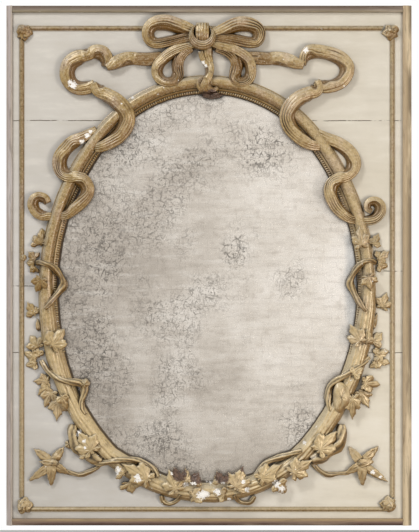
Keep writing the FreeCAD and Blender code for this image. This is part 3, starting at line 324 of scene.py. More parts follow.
def make_distemper():
    """Distemper on old boards: chalky, brushed along the boards, cracked at their joints."""
    paint = Paint("cream_grey_distemper")
    across, _, up = paint.place.axes()
    cloud = paint.noise(240, 4, 0.55)
    brushed = paint.noise(26, 4, 0.6, (4, 1, 1))
    paint.base = cloud.ramp((0.3, "#c3bfb8"), (0.5, "#cdc9c4"), (0.7, "#d3d0cc"))
    # painted light: the boards are laid warmer and lighter towards the right
    painted_light_right = cloud.ramp((0.3, "#d5ccb9"), (0.5, "#ddd5c4"), (0.7, "#e4ddcf"))
    paint.tint((across + cloud.swing(0.35)).between(-0.25, 0.5), painted_light_right)
    # darker towards the head, and painted shade greys the lower left
    paint.tint(up.between(-0.1, 0.6), "#c3bcae", 0.5)
    paint.tint((up * -1.0 - across).between(0.2, 1.2), "#bab4a8", 0.35)
    paint.tint(brushed.between(0.45, 0.75), "#b3aa98", 0.22)
    paint.tint(brushed.between(0.5, 0.25), "#eae5da", 0.25)
    # painted shade in the corners beside the carving and the frame
    paint.tint(paint.occlusion_shade(9).between(0.3, 1.0), "#827b6f", 0.55)
    wander = paint.noise(60, 3).swing(0.005)
    crack = None
    for height, left, right in JOINTS:
        line = abs(up + wander - height * MM).between(CRACK_FADE * MM, CRACK_HALF * MM)
        line = line * across.between(left * MM, (left + CRACK_END) * MM)
        line = line * across.between(right * MM, (right - CRACK_END) * MM)
        crack = line if crack is None else crack.most(line)
    gone = crack * paint.noise(40, 3).between(0.36, 0.5)
    paint.tint(gone, "#5a5040")
    paint.tint((paint.noise(5, 3, 0.7) + crack * 0.1).between(0.72, 0.76), "#f3efe6", 0.7)
    paint.bare_behind()
    return paint.finish(0.72, relief=brushed * 0.4 - gone * 2.0)


# the sides of the outer frame: colours from within and where worn, band from and to in mm
FRAME_PAINTS = {
    "stile_left": (
        "worn_paint_left_stile", "#b5a99c", "#b3a7a4", "#a89a90", "#c3bbb6", -587, -605,
    ),
    "stile_right": (
        "worn_gold_right_stile", "#b8a283", "#9d8868", "#76664e", "#cdb998", 588, 615,
    ),
    "rail_top": ("worn_paint_top_rail", "#8d8069", "#76675a", "#5b4a3c", "#a39584", 830, 850),
    "rail_bottom": (
        "worn_paint_bottom_rail", "#a68e6a", "#7e665a", "#4b3326", "#8f7b66", -695, -715,
    ),
}


def make_frame_paint(name, inner, middle, outer, worn, start, end):
    """Old paint and gilding on the outer frame, in bands across its width, start to end."""
    paint = Paint(name)
    across, _, up = paint.place.axes()
    upright = "stile" in name
    axis, stretch = (across, (1, 1, 9)) if upright else (up, (9, 1, 1))
    streak = paint.noise(7, 5, 0.65, stretch)
    shift = axis.between(start * MM, end * MM) + streak.swing(0.5)
    paint.base = shift.ramp((0.1, inner), (0.5, middle), (0.9, outer))
    paint.tint(paint.noise(45, 4, 0.6, stretch).between(0.52, 0.68), worn)
    paint.tint(streak.between(0.5, 0.3), "#4a3d30", 0.4)
    fleck = paint.noise(6, 4, 0.7, stretch)
    paint.tint(fleck.between(0.7, 0.75), "#ece6da")
    # painted shade in the corners of the mouldings
    paint.tint(paint.occlusion_shade(12).between(0.15, 0.8), "#4a4034")
    paint.bare_behind()
    return paint.finish(0.6, relief=streak + fleck, strength=0.5)


# where the tin is worst: photo pixels of the middle, half width and half height
BLIGHTS = (
    (100, 250, 34, 66), (92, 350, 30, 60), (124, 140, 34, 32), (236, 250, 20, 24),
    (262, 150, 40, 34), (304, 426, 26, 26), (160, 440, 40, 24),
)


def make_old_mirror():
    """Old mirror plate: the tin has crept into specks, veins and cloudy patches."""
    paint = Paint("foxed_mirror_plate")
    place = paint.place
    across, _, up = place.axes()
    cloud = paint.noise(260, 5, 0.6)
    fine = paint.noise(30, 5, 0.7)
    paint.base = cloud.ramp((0.32, "#a89f94"), (0.5, "#bcb3a8"), (0.66, "#cdc6bc"))
    # painted light: the plate is laid lighter towards the right and a little darker at the foot
    right = cloud.ramp((0.32, "#cdc4b8"), (0.5, "#ddd5ca"), (0.66, "#e8e1d8"))
    paint.tint((across + cloud.swing(0.5)).between(-0.42, 0.34), right)
    paint.tint(up.between(-0.3, -0.62), "#b3a99c", 0.3)
    paint.tint(fine.between(0.5, 0.72), "#958a7e", 0.3)
    # wiped streaks across the plate
    wiped = paint.noise(16, 4, 0.6, (6, 1, 1))
    paint.tint(wiped.between(0.5, 0.68), "#94897c", 0.2)
    paint.tint(wiped.between(0.48, 0.32), "#eae5dd", 0.25)
    # where the tin has gone most
    worst = paint.noise(170, 3, 0.5) + across.between(0.25, -0.4) * 0.13
    worst = worst - across.between(-0.05, 0.2) * 0.1
    bad = worst.between(0.45, 0.65) * 0.62
    ragged = paint.noise(70, 4, 0.65).swing(1.5)
    for px, py, wide, high in BLIGHTS:
        cx, cz = at(px, py)
        away = place.vector("SUBTRACT", (cx * MM, 0, cz * MM))
        away = away.vector("MULTIPLY", (1000 / (wide * PIXEL), 0, 1000 / (high * PIXEL)))
        away = away.vector("LENGTH", output="Value")
        bad = bad.most((away + ragged).between(1.15, 0.35) * 0.8)
    bends = {"Vector": place, "Scale": 1000 / 16, "Detail": 3}
    bends = place.node("ShaderNodeTexNoise", bends, "Color").vector("MULTIPLY", (12 * MM,) * 3)
    bent = place.vector("ADD", bends)

    def net(size_mm):
        """How far a place lies from the lines of a net of bent cells."""
        inputs = {"Vector": bent, "Scale": 1000 / size_mm}
        return place.node("ShaderNodeTexVoronoi", inputs, "Distance", feature="DISTANCE_TO_EDGE")

    veins = net(17).between(0.11, 0.035) * paint.noise(18, 5, 0.75).between(0.46, 0.56) * bad
    small = net(8).between(0.12, 0.04) * paint.noise(26, 4, 0.7).between(0.5, 0.58)
    veins = veins.most(small * (bad * bad))
    specks = paint.noise(5.5, 4, 0.75).between(0.58, 0.63) * (0.1 + bad)
    # fine horizontal and upright lines where the tin has crazed
    for stretch in ((9, 1, 1), (1, 1, 9)):
        craze = paint.noise(3.2, 3, 0.7, stretch).between(0.59, 0.66)
        specks = specks.most(craze * (0.14 + bad * 0.55))
    black = veins.most(specks)
    paint.tint(black, "#28241f", 0.92)
    # painted reflection: a blue-grey strip down the right, the frame's inner edge seen in the plate
    strip = (across + fine.swing(0.02)).between(0.408, 0.43) * up.between(0.18, 0.14)
    paint.tint(strip * up.between(-0.19, -0.12), "#9ea3a6", 0.5)
    # painted shadow: a dark rim where the moulding shades the plate
    rim = paint.occlusion_shade(16).between(0.14, 0.42)
    paint.tint(rim, "#21180f", 0.97)
    return paint.finish(0.16 + fine * 0.2, 0.75 - black.most(rim) * 0.6, fine, 0.15, 0.3)


def make_bare_wood():
    """Unpainted softwood at the back, browned and dusty, its grain along the piece."""
    paint = Paint("aged_softwood")
    split = paint.noise(5, 6, 0.7, (1, 1, 14))
    paint.base = split.ramp((0.3, "#4a3524"), (0.55, "#70543a"), (0.75, "#8d6e4e"))
    return paint.finish(0.8, relief=split)


def make_iron():
    """Forged iron, browned with rust in its pits."""
    paint = Paint("forged_iron")
    pits = paint.noise(4, 4, 0.7)
    paint.base = pits.ramp((0.35, "#2b2623"), (0.6, "#46392f"), (0.75, "#6b4630"))
    return paint.finish(0.62, 0.6, pits, 0.5)


# ---------------------------------------------------------------- carving kit


# losses down to the white ground: photo pixels and radius in pixels, which fades out at FADE
FADE = 1.5
LOSSES = (
    (74, 86, 4.5), (71, 83, 3), (305, 51, 3.6), (203, 64, 2.4), (206, 67, 2), (83, 142, 3),
    (88, 136, 3), (91, 132, 2), (133, 98, 2.2), (80, 431, 3), (78, 434, 2), (119, 468, 3.6),
    (138, 476, 5), (117, 472, 3), (186, 483, 3.2), (192, 482, 2.4), (203, 493.5, 6),
    (199, 494.5, 3.5), (207, 493, 3.5), (217, 490, 4.5), (195, 482, 2), (207, 481, 2),
    (211, 483, 2), (223, 482, 2.6), (229, 498, 2.4), (247, 488, 3), (276, 482, 4.5), (281, 487, 4),
    (304, 442, 2.4), (372, 471, 2.6), (380, 476, 2), (172, 472, 2), (243, 480, 2.6),
    (85, 440, 2.4), (86, 446, 2),
)
# places that are bare brown wood
BARE = (
    (179.5, 472, 9), (197, 476, 8), (222, 475, 8.5), (243, 467, 4), (212, 97, 8), (205, 98, 7),
    (219, 98, 6),
)


class Carving:
    """The points and faces of one carved piece, with how hollow and how deep in tone each is."""

    def __init__(self, tone=0.0):
        self.points, self.faces, self.hollow, self.lining = [], [], [], []
        self.tone = tone

    def add(self, x, z, rise, hollow=0.0, lining=0.0):
        self.points.append((x, PANEL_Y - rise, z))
        self.hollow.append(hollow)
        self.lining.append(max(lining, self.tone))
        return len(self.points) - 1

    def strip(self, rows):
        """Join closed rows of point numbers into a skin."""
        for one, other in zip(rows, rows[1:]):
            for k in range(len(one)):
                after = (k + 1) % len(one)
                self.faces.append((one[k], one[after], other[after], other[k]))

    def piece(self, name, material, replaced):
        """Make the object, ride it on the frame and hide the nodes it stands for."""
        mesh = bpy.data.meshes.new(name)
        mesh.from_pydata([[c * MM for c in p] for p in self.points], [], self.faces)
        for label, values in (
            ("hollow", self.hollow), ("lining", self.lining),
            ("lost", [near(LOSSES, x, z) for x, _, z in self.points]),
            ("bare", [near(BARE, x, z) for x, _, z in self.points]),
        ):
            mesh.attributes.new(label, "FLOAT", "POINT").data.foreach_set("value", values)
        work = bmesh.new()
        work.from_mesh(mesh)
        bmesh.ops.recalc_face_normals(work, faces=work.faces)
        work.to_mesh(mesh)
        work.free()
        mesh.shade_smooth()
        mesh.materials.append(material)
        item = stand(name, mesh)
        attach(item, "root")
        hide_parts(*replaced)


def near(places, x, z):
    """How close a point is to any of the places: 1 at its middle, 0 from its edge on."""
    best = 0.0
    for px, py, radius in places:
        cx, cz = at(px, py)
        reach = radius * PIXEL * FADE
        if abs(x - cx) < reach and abs(z - cz) < reach:
            best = max(best, 1 - math.hypot(x - cx, z - cz) / reach)
    return best


def smooth(stations, step):
    """Stations of a smooth line (Catmull-Rom) through the given ones, about a step apart."""
    first = [2 * a - b for a, b in zip(stations[0], stations[1])]
    last = [2 * a - b for a, b in zip(stations[-1], stations[-2])]
    line = [first] + [list(s) for s in stations] + [last]
    out = []
    for a, b, c, d in zip(line, line[1:], line[2:], line[3:]):
        parts = max(1, round(math.hypot(c[0] - b[0], c[1] - b[1]) / step))
        for i in range(parts):
            t = i / parts
            out.append([
                0.5 * (2 * q + (r - p) * t + (2 * p - 5 * q + 4 * r - w) * t**2
                       + (3 * q - p - 3 * r + w) * t**3)
                for p, q, r, w in zip(a, b, c, d)
            ])
    out.append(list(stations[-1]))
    return out


def traced(rows):
    """Stations (x, z, width, rise) from photo pixels, all but the rise in pixels."""
    return [at(px, py) + (width * PIXEL, rise) for px, py, width, rise in rows]


# how far apart the stations are, and how many of them on each side a turn is read over
RIBBON_STEP = 3.5
STEM_STEP = 3
TURN_REACH = 4


def sweep(carve, rows, section, step):
    """A closed bar along traced rows; the section gives (across, rise, tones) at a station.

    It is told how sharply the line turns there, in 1/mm, to the left when positive.
    """
    line = smooth(traced(rows), step)
    headings, ends = [], len(line) - 1
    for i in range(len(line)):
        before, after = line[max(i - 1, 0)], line[min(i + 1, ends)]
        headings.append(math.atan2(after[1] - before[1], after[0] - before[0]))
    turns = []
    for i in range(len(line)):
        a, b = max(i - TURN_REACH, 0), min(i + TURN_REACH, ends)
        swing = (headings[b] - headings[a] + math.pi) % (2 * math.pi) - math.pi
        turns.append(swing / (step * max(b - a, 1)))
    skins, run = [], 0.0
    for (x, z, width, rise), heading, turn in zip(line, headings, turns):
        nx, nz = -math.sin(heading), math.cos(heading)
        run += step
        skin = []
        for across, high, *tones in section(x, z, width, rise, run, turn):
            skin.append(carve.add(x + nx * across, z + nz * across, high, *tones))
        skins.append(skin)
    carve.strip(skins)
    carve.faces.append(tuple(skins[0][::-1]))
    carve.faces.append(tuple(skins[-1]))


def hump(away, half):
    """A soft hump: 1 in its middle, and almost nothing beyond twice its half width."""
    return math.exp(-((away / half) ** 2))


def soft_step(value, low, high):
    """A value taken from low..high to 0..1 with soft ends."""
    t = min(1.0, max(0.0, (value - low) / (high - low)))
    return t * t * (3 - 2 * t)


# how far the sides of a ribbon fall as a share of its half width, and half a reed's groove
CROWN = 0.5
REED_HALF = 0.085


def ribbon(carve, rows, reeds, depth=2.6, lining=8.0, inside=0.0, turned=(), twist=0.0):
    """A ribbon of soft, uneven reeds: its outer face in light, its inner face past a thin lip.

    The inner face shows on the inside of each bend, or all along the side that the sign of
    inside names, and fully over the shares of the line in turned. The reeds are cut to a
    depth and wander across by the twist. The lining is how far the inner face leans out.
    """
    seed, samples = rows[0][0], 36
    length = RIBBON_STEP * len(smooth(traced(rows), RIBBON_STEP))

    def section(x, z, width, rise, run, turn):
        back, share = under(x, z, rise), run / length
        fade = min(1.0, width / 26)
        inward = max(-1.0, min(1.0, turn * 30))
        side = 1 if (inside or inward) >= 0 else -1
        shown = max(abs(inward) ** 0.8, abs(inside))
        whole = 0.0
        for start, stop in turned:
            begun = soft_step(share, start - 0.05, start + 0.05)
            whole = max(whole, begun * soft_step(share, stop + 0.05, stop - 0.05))
        fold = 1.05 - 0.9 * shown + 0.16 * grain(run, seed, 60, 5.0)
        crest = min(0.75, fold) - 0.35
        places = []
        for k in range(reeds):
            place = -1 + (k + 0.9) * (min(1.0, fold) + 1) / (reeds + 0.6)
            place += 0.2 * grain(run, 31 * k, 90, seed)
            place = (place + 1 + twist * 4 * max(0.0, share - 0.55)) % 2 - 1
            places.append((place, 0.1 + 2.1 * abs(grain(run, 17 * k, 75, seed + 9))))
        out = []
        for k in range(samples + 1):
            u = 2 * k / samples - 1
            s = u * side
            inner = soft_step(s, fold, fold + 0.14)
            deep = max(0.0, (s - fold) / max(0.15, 1 - fold))
            groove = (1 - 0.5 * inner) * sum(d * hump(s - c, REED_HALF) for c, d in places)
            groove += 0.6 * inner * hump(deep - 0.5, 0.12)
            off = (s - crest) / (1 - crest) if s > crest else (crest - s) / (1 + crest)
            arch = 1 - math.sqrt(max(0.0, 1 - (0.98 * u) ** 2))
            fall = CROWN * width * 0.5 * (0.55 * off**1.8 + 0.45 * arch)
            lip = hump(s - fold + 0.04, 0.06) * min(1.0, 2 * shown)
            rim = 1.3 * hump(abs(u) - 0.9, 0.07)
            cut = rim + 1.6 * lip - depth * groove - inner * (2.5 + 5 * deep)
            high = rise - fall + fade * cut + 0.9 * grain(run, u * width, 26, 3.0)
            dark = min(1.0, 0.62 * groove + 0.25 * abs(u) ** 12)
            out.append((width * 0.5 * u, max(high, back + 2), dark, max(inner, 0.85 * whole)))
        for sign, edge in ((1, out[-1]), (-1, out[0])):
            wide = lining * fade * max(0.0, sign * side * shown) ** 0.8
            # the side walls take full lining and grow more hollow towards their foot, as painted
            # shade
            wall = [
                (edge[0] + sign * wide * 0.35, back + 0.72 * (edge[1] - back), 0.25, 1.0),
                (edge[0] + sign * wide * 0.8, back + 0.32 * (edge[1] - back), 0.4, 1.0),
                (edge[0] + sign * (wide - width * 0.07), back, 0.9, 1.0),
            ]
            out = out + wall if sign > 0 else out + wall[::-1]
        return out

    sweep(carve, rows, section, RIBBON_STEP)


def stem(carve, rows):
    """A round stem, twisted a little, with the scars of cut leaves."""

    def section(x, z, width, rise, run, _):
        back = under(x, z, rise)
        half = width * 0.58 * (1 + 0.12 * math.sin(run / 9))
        low = rise - half
        out = []
        for k in range(13):
            angle = math.pi * k / 12
            twist = 0.10 * math.cos(5 * angle + run / 14) + 0.07 * grain(run, 30 * angle, 9, 2)
            reach = half * (1 + twist)
            scar = 0.5 - 4 * twist if twist < 0.05 else 0.0
            out.append((-math.cos(angle) * reach, low + math.sin(angle) * half * (1 + twist), scar))
        return out + [(side * half * 0.8, min(back, low), 0.8) for side in (1, -1)]

    sweep(carve, rows, section, STEM_STEP)


# how far a leaf swells in its middle
SWELL = 5.5
# lobes of a leaf, by their number: where each points in degrees from the tip, how far it
# reaches, and how many degrees it takes up on each side
LOBES = {1: (0,), 2: (0, 78, -78, 180), 3: (0, 58, -58, 118, -118, 180)}
REACHES = {0: 1.05, 58: 0.92, 78: 0.86, 118: 0.66, 180: 0.36}
SPREADS = {1: 180, 2: 48, 3: 34}


def leaf(carve, bx, by, tx, ty, width_px, lobes, rise=None):
    """A vine leaf: pointed lobes round its stalk, a pad on each and a valley between."""
    base, tip = at(bx, by), at(tx, ty)
    length = math.hypot(tip[0] - base[0], tip[1] - base[1])
    ux, uz = (tip[0] - base[0]) / length, (tip[1] - base[1]) / length
    half = width_px * PIXEL / 2 * 1.62
    low = ground(*base) if rise is None else rise
    high = ground(*tip) if rise is None else max(rise - 8, ground(*tip))
    heart = 0.36 * length
    around, rings = 96, 10
    seed = bx + ty
    tops, backs = [], []
    for i in range(rings + 1):
        t = i / rings
        top, back = [], []
        for k in range(around):
            angle = 2 * math.pi * k / around - math.pi
            degrees = math.degrees(angle)
            gap, lobe = min((abs((degrees - p + 180) % 360 - 180), abs(p)) for p in LOBES[lobes])
            saw = min(1.0, gap / SPREADS[lobes])
            if lobes > 1:
                reach = REACHES[lobe] * (1 - 0.36 * saw**0.62)
            else:
                reach = 0.6 + 0.4 * math.exp(-abs(degrees) / 38)
            reach *= 1 + 0.04 * math.sin(13 * angle + seed) + 0.025 * math.sin(29 * angle + seed)
            ahead = math.cos(angle)
            along = heart + t * reach * ahead * (length - heart if ahead > 0 else heart * 1.05)
            over = t * reach * math.sin(angle) * half * 1.12
            x = base[0] + ux * along - uz * over
            z = base[1] + uz * along + ux * over
            share = min(1.0, max(0.0, along / length))
            floor = low + (high - low) * share
            pad = hump(saw, 0.2) * t
            valley = saw**2 * t * (1 - 0.35 * t)
            dome = SWELL * (1 - t**2.6) * 0.75 + 2.5 * math.sin(math.pi * share)
            curl = 3.5 * t**3 * math.sin(2 * angle + seed)
            vein = hump(saw, 0.13) * min(1, 3 * t) * (1 - t**3)
            level = floor + 4 + dome + 1.2 * pad - 3.0 * valley + curl + 1.2 * grain(x, z, 9, seed)
            level += 1.2 * hump(t - 0.92, 0.1) - 1.9 * vein
            level += 1.0 * math.cos(5 * t * math.pi + 3 * saw) * t * (1 - saw)
            level = max(level, ground(x, z) + 1.5)
            dark = 1.3 * valley + 0.3 * (1 - t) ** 3 + 0.55 * vein + 0.25 * hump(t - 0.74, 0.08)
            top.append(carve.add(x, z, level, min(1.0, dark)))
            back.append(carve.add(x, z, min(level - 2.5, max(floor - 1, ground(x, z) - 2)), 0.8))
        tops.append(top)
        backs.append(back)
    carve.strip(tops[1:])
    carve.strip([r[::-1] for r in backs[1:]])
    for ring in (tops[1], backs[1][::-1]):
        carve.faces.append(tuple(ring))
    carve.strip([tops[-1], backs[-1]])


def bud(carve, cx, cy, rx, ry, rise, ridges, spiral, floor=None):
    """A round boss cut in ridges that wind to its crown."""
    x0, z0 = at(cx, cy)
    floor = ground(x0, z0) - 2 if floor is None else floor
    turns, rings = 48, 12
    skins = []
    for i in range(rings + 1):
        t = i / rings
        angle_up = t * math.pi / 2
        skin = []
        for k in range(turns):
            angle = 2 * math.pi * k / turns
            wave = math.cos(ridges * angle + spiral * t * 2 * math.pi)
            lump = grain(60 * math.cos(angle) * t + cx, 60 * math.sin(angle) * t + cy, 22, 4)
            reach = math.cos(angle_up) * (1 + 0.06 * wave + 0.16 * lump) if i < rings else 0.02
            high = floor + (rise - floor) * (0.25 + 0.75 * math.sin(angle_up))
            high = high + 1.4 * wave * math.cos(angle_up)
            x = x0 + rx * PIXEL * reach * math.cos(angle)
            z = z0 + ry * PIXEL * reach * math.sin(angle)
            skin.append(carve.add(x, z, high + 2.2 * lump, 0.28 - 0.28 * wave))
        skins.append(skin)
    foot = [carve.add(carve.points[p][0], carve.points[p][2], floor, 0.9) for p in skins[0]]
    skins.insert(0, foot)
    carve.strip(skins)
    carve.faces.append(tuple(foot[::-1]))
    carve.faces.append(tuple(skins[-1]))


# ---------------------------------------------------------------- the oval moulding


# arcs of the sight edge: middle, radius, and angles from and to
ARCS = {
    "right": (-SIDE_SHIFT, 0, SIDE_RADIUS, -TURN, TURN),
    "top": (0, END_SHIFT, END_RADIUS, TURN, math.pi - TURN),
    "left": (SIDE_SHIFT, 0, SIDE_RADIUS, math.pi - TURN, math.pi + TURN),
    "bottom": (0, -END_SHIFT, END_RADIUS, math.pi + TURN, 2 * math.pi - TURN),
}
# how far apart the sections of the mouldings stand
TORUS_STEP = 4
SLIP_STEP = 6


def bark(z):
    """How far the moulding is cut as bound stems: none at the head, full at the foot."""
    return min(1.0, max(0.0, (60 - z) / 160))


def eased(x, z):
    """How much further out the moulding starts at the lower left, in millimetres."""
    if x > 0 or z > -60:
        return 0.0
    return 11 * min(1.0, (-60 - z) / 280) * min(1.0, max(0.0, (z + 515) / 40))


def wrap_oval(carve, step, section):
    """A closed ring round the oval; the section gives (offset, rise, hollow) at a place."""
    skins = []
    for x0, z0, radius, start, stop in ARCS.values():
        steps = round(radius * (stop - start) / step)
        for i in range(steps):
            angle = start + (stop - start) * i / steps
            cos, sin = math.cos(angle), math.sin(angle)
            skins.append([
                carve.add(x0 + (radius + o) * cos, z0 + (radius + o) * sin, h, c)
                for o, h, c in section(x0 + radius * cos, z0 + radius * sin)
            ])
    carve.strip(skins + skins[:1])


def make_oval_moulding(material):
    """The torus: smooth with soft tool flats above, cut as a sheaf of bound stems below."""

    def section(cx, cz):
        cut = bark(cz)
        worn = 2.5 * cut * grain(cx, cz, 34, 8)
        inner = TORUS_IN - cut * (11 + worn) + eased(cx, cz)
        outer = TORUS_OUT + cut * (7 + 2 * grain(cx, cz, 40, 6)) + 0.5 * eased(cx, cz)
        skin = [(inner, 0 if cut < 0.5 else 1, 0.8)]
        places = [
            (math.pi * (0.19 + 0.155 * k) + 0.13 * grain(cx + 230 * k, cz, 120, 4),
             0.3 + 1.1 * abs(grain(cx + 410 * k, cz, 90, 6)))
            for k in range(5)
        ]
        for k in range(41):
            side = math.pi * k / 40
            flute = sum(deep * hump(side - c, 0.09) for c, deep in places)
            soft = 0.7 * noise.noise(Vector((cx / 26, cz / 26, side)))
            knot = cut * 1.6 * noise.noise(Vector((cx / 15, cz / 15, 2 * side)))
            flat = 0.5 * math.cos(6 * side)
            swell = TORUS_ROUND + cut * 4 - 3.6 * cut * flute + soft + knot + flat
            skin.append((
                (inner + outer) / 2 - (outer - inner) / 2 * math.cos(side),
                TORUS_SPRING - cut * 4 + swell * math.sin(side),
                min(1.0, 0.5 * cut * flute),
            ))
        step_out = max(outer + 2.5, TORUS_OUT + FILLET)
        return skin + [
            (outer, STEP_RISE + 0.5, 0.9), (outer + 1, STEP_RISE, 0.6),
            (max(outer + 2, TORUS_OUT + FILLET - 1), STEP_RISE, 0.0),
            (step_out, STEP_RISE - 1, 0.2), (step_out, 0, 0.9),
        ]

    carve = Carving()
    wrap_oval(carve, TORUS_STEP, section)
    carve.piece("oval_torus", material, ["oval_moulding_" + name for name in ARCS])


def flank(z):
    """How far the slip is a plain toothed band: none at the head, full at the sides."""
    return soft_step(-z, -330, -150)


def make_sight_slip(material):
    """The slip next to the glass: a low cove, its toe, and a dark lip over the glass as painted
    shadow at the edge of the rebate.
    """

    def section(cx, cz):
        worn = 0.8 * grain(cx, cz, 18, 4) + eased(cx, cz)
        full = flank(cz)
        # painted shadow: the slip reaches out over the glass as a dark lip, wider to the lower left
        # where the moulding's shadow falls
        gap = worn - 1.5 - 2.8 * soft_step(-cx - 0.4 * cz, -150, 300)
        return (
            (gap, GLASS_RISE, 1.0), (gap, GLASS_RISE + 0.8, 1.0), (0.8 + worn, GLASS_RISE + 1, 1.0),
            (1.2 + worn, 0, 0.9), (1.6 + worn, 2.2, 0.5), (3 + worn, 3.6, 0.2),
            (max(9.2, 4 + worn), 4.4 + 4 * full, 0.6 - 0.5 * full),
            (max(10.2, 5 + worn), 6.0 + 3.5 * full, 0.3 - 0.2 * full),
            (max(13, 6 + worn), 8.2 + 3 * full, 0.1), (SLIP + 2, 9.5 + 2 * full, 0.5 - 0.3 * full),
            (SLIP + 2.5, GLASS_RISE, 0.9),
        )

    carve = Carving()
    wrap_oval(carve, SLIP_STEP, section)
    carve.piece("sight_slip", material, ["sight_edge_" + name for name in ARCS])


def make_tooth(across):
    """One carved tooth of the sight edge: a small slanted pillow of a half length across."""
    work = bmesh.new()
    bmesh.ops.create_uvsphere(work, u_segments=8, v_segments=5, radius=1.0)
    for vertex in work.verts:
        x, y, z = vertex.co
        vertex.co = Vector((2.9 * x + 0.8 * z, 3.2 * y, across * z)) * MM
    mesh = bpy.data.meshes.new("tooth")
    work.to_mesh(mesh)
    work.free()
    return stand("tooth", mesh)


# where the rows of teeth run: spans of the arcs, half length of a tooth, offset and rise
HEAD_STOP = math.radians(18)
TEETH_STOP = math.radians(16)
TOOTH_PITCH = 7
TEETH = {
    "sight_teeth_head": ((
        ("right", HEAD_STOP, TURN), ("top", TURN, math.pi - TURN),
        ("left", math.pi - TURN, math.pi - HEAD_STOP),
    ), 4.6, 5.2, 4.6),
    "sight_teeth_right": ((("right", -TEETH_STOP, HEAD_STOP),), 8.2, 9.0, 7.2),
    "sight_teeth_left": ((("left", math.pi - HEAD_STOP, math.pi + TEETH_STOP),), 8.2, 9.0, 7.2),
}


def make_line(spans, offset, rise):
    """A line along arcs of the oval, (arc, start, stop) each, at an offset and a rise."""
    points = []
    steps = 80
    for name, start, stop in spans:
        x0, z0, radius = ARCS[name][:3]
        reach = radius + offset
        for i in range(steps):
            angle = start + (stop - start) * i / steps
            points.append((
                (x0 + reach * math.cos(angle)) * MM, (PANEL_Y - rise) * MM,
                (z0 + reach * math.sin(angle)) * MM,
            ))
    curve = bpy.data.curves.new("sight_line", "CURVE")
    curve.dimensions = "3D"
    spline = curve.splines.new("POLY")
    spline.points.add(len(points) - 1)
    for target, place in zip(spline.points, points):
        target.co = (*place, 1)
    return stand("sight_line", curve)


def make_teeth_nodes():
    """Geometry Nodes that set a tooth, uneven in size, at each pitch along a line."""
    tree = bpy.data.node_groups.new("sight_teeth", "GeometryNodeTree")
    face = tree.interface
    face.new_socket("Geometry", in_out="OUTPUT", socket_type="NodeSocketGeometry")
    for name, kind in (
        ("Line", "Object"), ("Tooth", "Object"), ("Pitch", "Float"), ("Finish", "Material"),
    ):
        face.new_socket(name, in_out="INPUT", socket_type="NodeSocket" + kind)
    given = add(tree, "NodeGroupInput").outputs
    line = add(tree, "GeometryNodeObjectInfo", {"Object": given["Line"]}).outputs["Geometry"]
    spaced = add(
        tree, "GeometryNodeResampleCurve", {"Curve": line, "Length": given["Pitch"]}, mode="LENGTH"
    )
    tangent = add(tree, "GeometryNodeInputTangent").outputs[0]
    turned = add(
        tree, "FunctionNodeAlignEulerToVector", {"Vector": tangent}, axis="X", pivot_axis="Y"
    )
    tooth = add(tree, "GeometryNodeObjectInfo", {"Object": given["Tooth"]}).outputs["Geometry"]
    uneven = add(
        tree, "FunctionNodeRandomValue", {2: 0.82, 3: 1.12, "Seed": 11}, data_type="FLOAT"
    )
    placed = add(tree, "GeometryNodeInstanceOnPoints", {
        "Points": spaced.outputs[0], "Instance": tooth,
        "Rotation": turned.outputs[0], "Scale": uneven.outputs[1],
    })
    real = add(tree, "GeometryNodeRealizeInstances", {0: placed.outputs[0]})
    inputs = {"Geometry": real.outputs[0], "Material": given["Finish"]}
    painted = add(tree, "GeometryNodeSetMaterial", inputs)
    add(tree, "NodeGroupOutput", {0: painted.outputs[0]})
    return tree


def make_sight_teeth(material):
    """The rows of carved teeth along the sight edge, made into plain meshes."""
    tree = make_teeth_nodes()
    for label, (spans, across, offset, rise) in TEETH.items():
        item = stand(label, bpy.data.meshes.new(label))
        modifier = item.modifiers.new("teeth", "NODES")
        modifier.node_group = tree
        spare = make_line(spans, offset, rise), make_tooth(across)
        values = {
            "Line": spare[0], "Tooth": spare[1], "Pitch": TOOTH_PITCH * MM, "Finish": material,
        }
        for socket in tree.interface.items_tree:
            if socket.name in values:
                modifier[socket.identifier] = values[socket.name]
        bpy.context.view_layer.update()
        evaluated = item.evaluated_get(bpy.context.evaluated_depsgraph_get())
        result = bpy.data.meshes.new_from_object(evaluated)
        item.modifiers.clear()
        item.data = result
        result.shade_smooth()
        middle = (PANEL_Y - rise) * MM
        hollow = result.attributes.new("hollow", "FLOAT", "POINT")
        hollow.data.foreach_set("value", [
            min(1.0, max(0.0, 0.35 + (v.co.y - middle) / (4 * MM))) for v in result.vertices
        ])
        for helper in spare:
            bpy.data.objects.remove(helper)
        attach(item, "root")


# ---------------------------------------------------------------- the carving, in photo pixels
# rows of (x, y, width, rise in millimetres)


RUN_LEFT = (
    (162, 58, 12, 17), (150, 59.5, 13, 21), (139, 59.3, 13, 23), (129, 58.3, 12, 26),
    (121, 60.5, 12.5, 30), (113.5, 64.5, 11.5, 32), (107, 68.5, 6, 29),
)
BEND_LEFT = (
    (107, 67.5, 9, 24), (108, 61.5, 11.5, 29), (104, 53.5, 13, 30), (96, 51.7, 13, 29),
    (88, 55.5, 11.5, 28), (78.5, 57.5, 14, 28), (70.5, 62.5, 14, 28), (67, 70, 13.5, 28),
    (67.3, 78, 13.5, 28), (71.5, 85, 13, 28), (79, 89, 13, 28), (88, 88.5, 12.5, 28),
    (95.5, 85.5, 11, 30),
)
COIL_LEFT = (
    (93.5, 84, 7, 30), (98, 91, 12, 34), (107.5, 95.5, 13.5, 40), (117, 101.5, 15, 46),
    (124.8, 110, 15.5, 48), (128, 119, 15.5, 46), (126, 128, 15, 44), (120, 136.5, 13.5, 42),
    (111, 143, 12.5, 40), (102, 147, 11, 36), (95, 148.5, 9, 26),
)
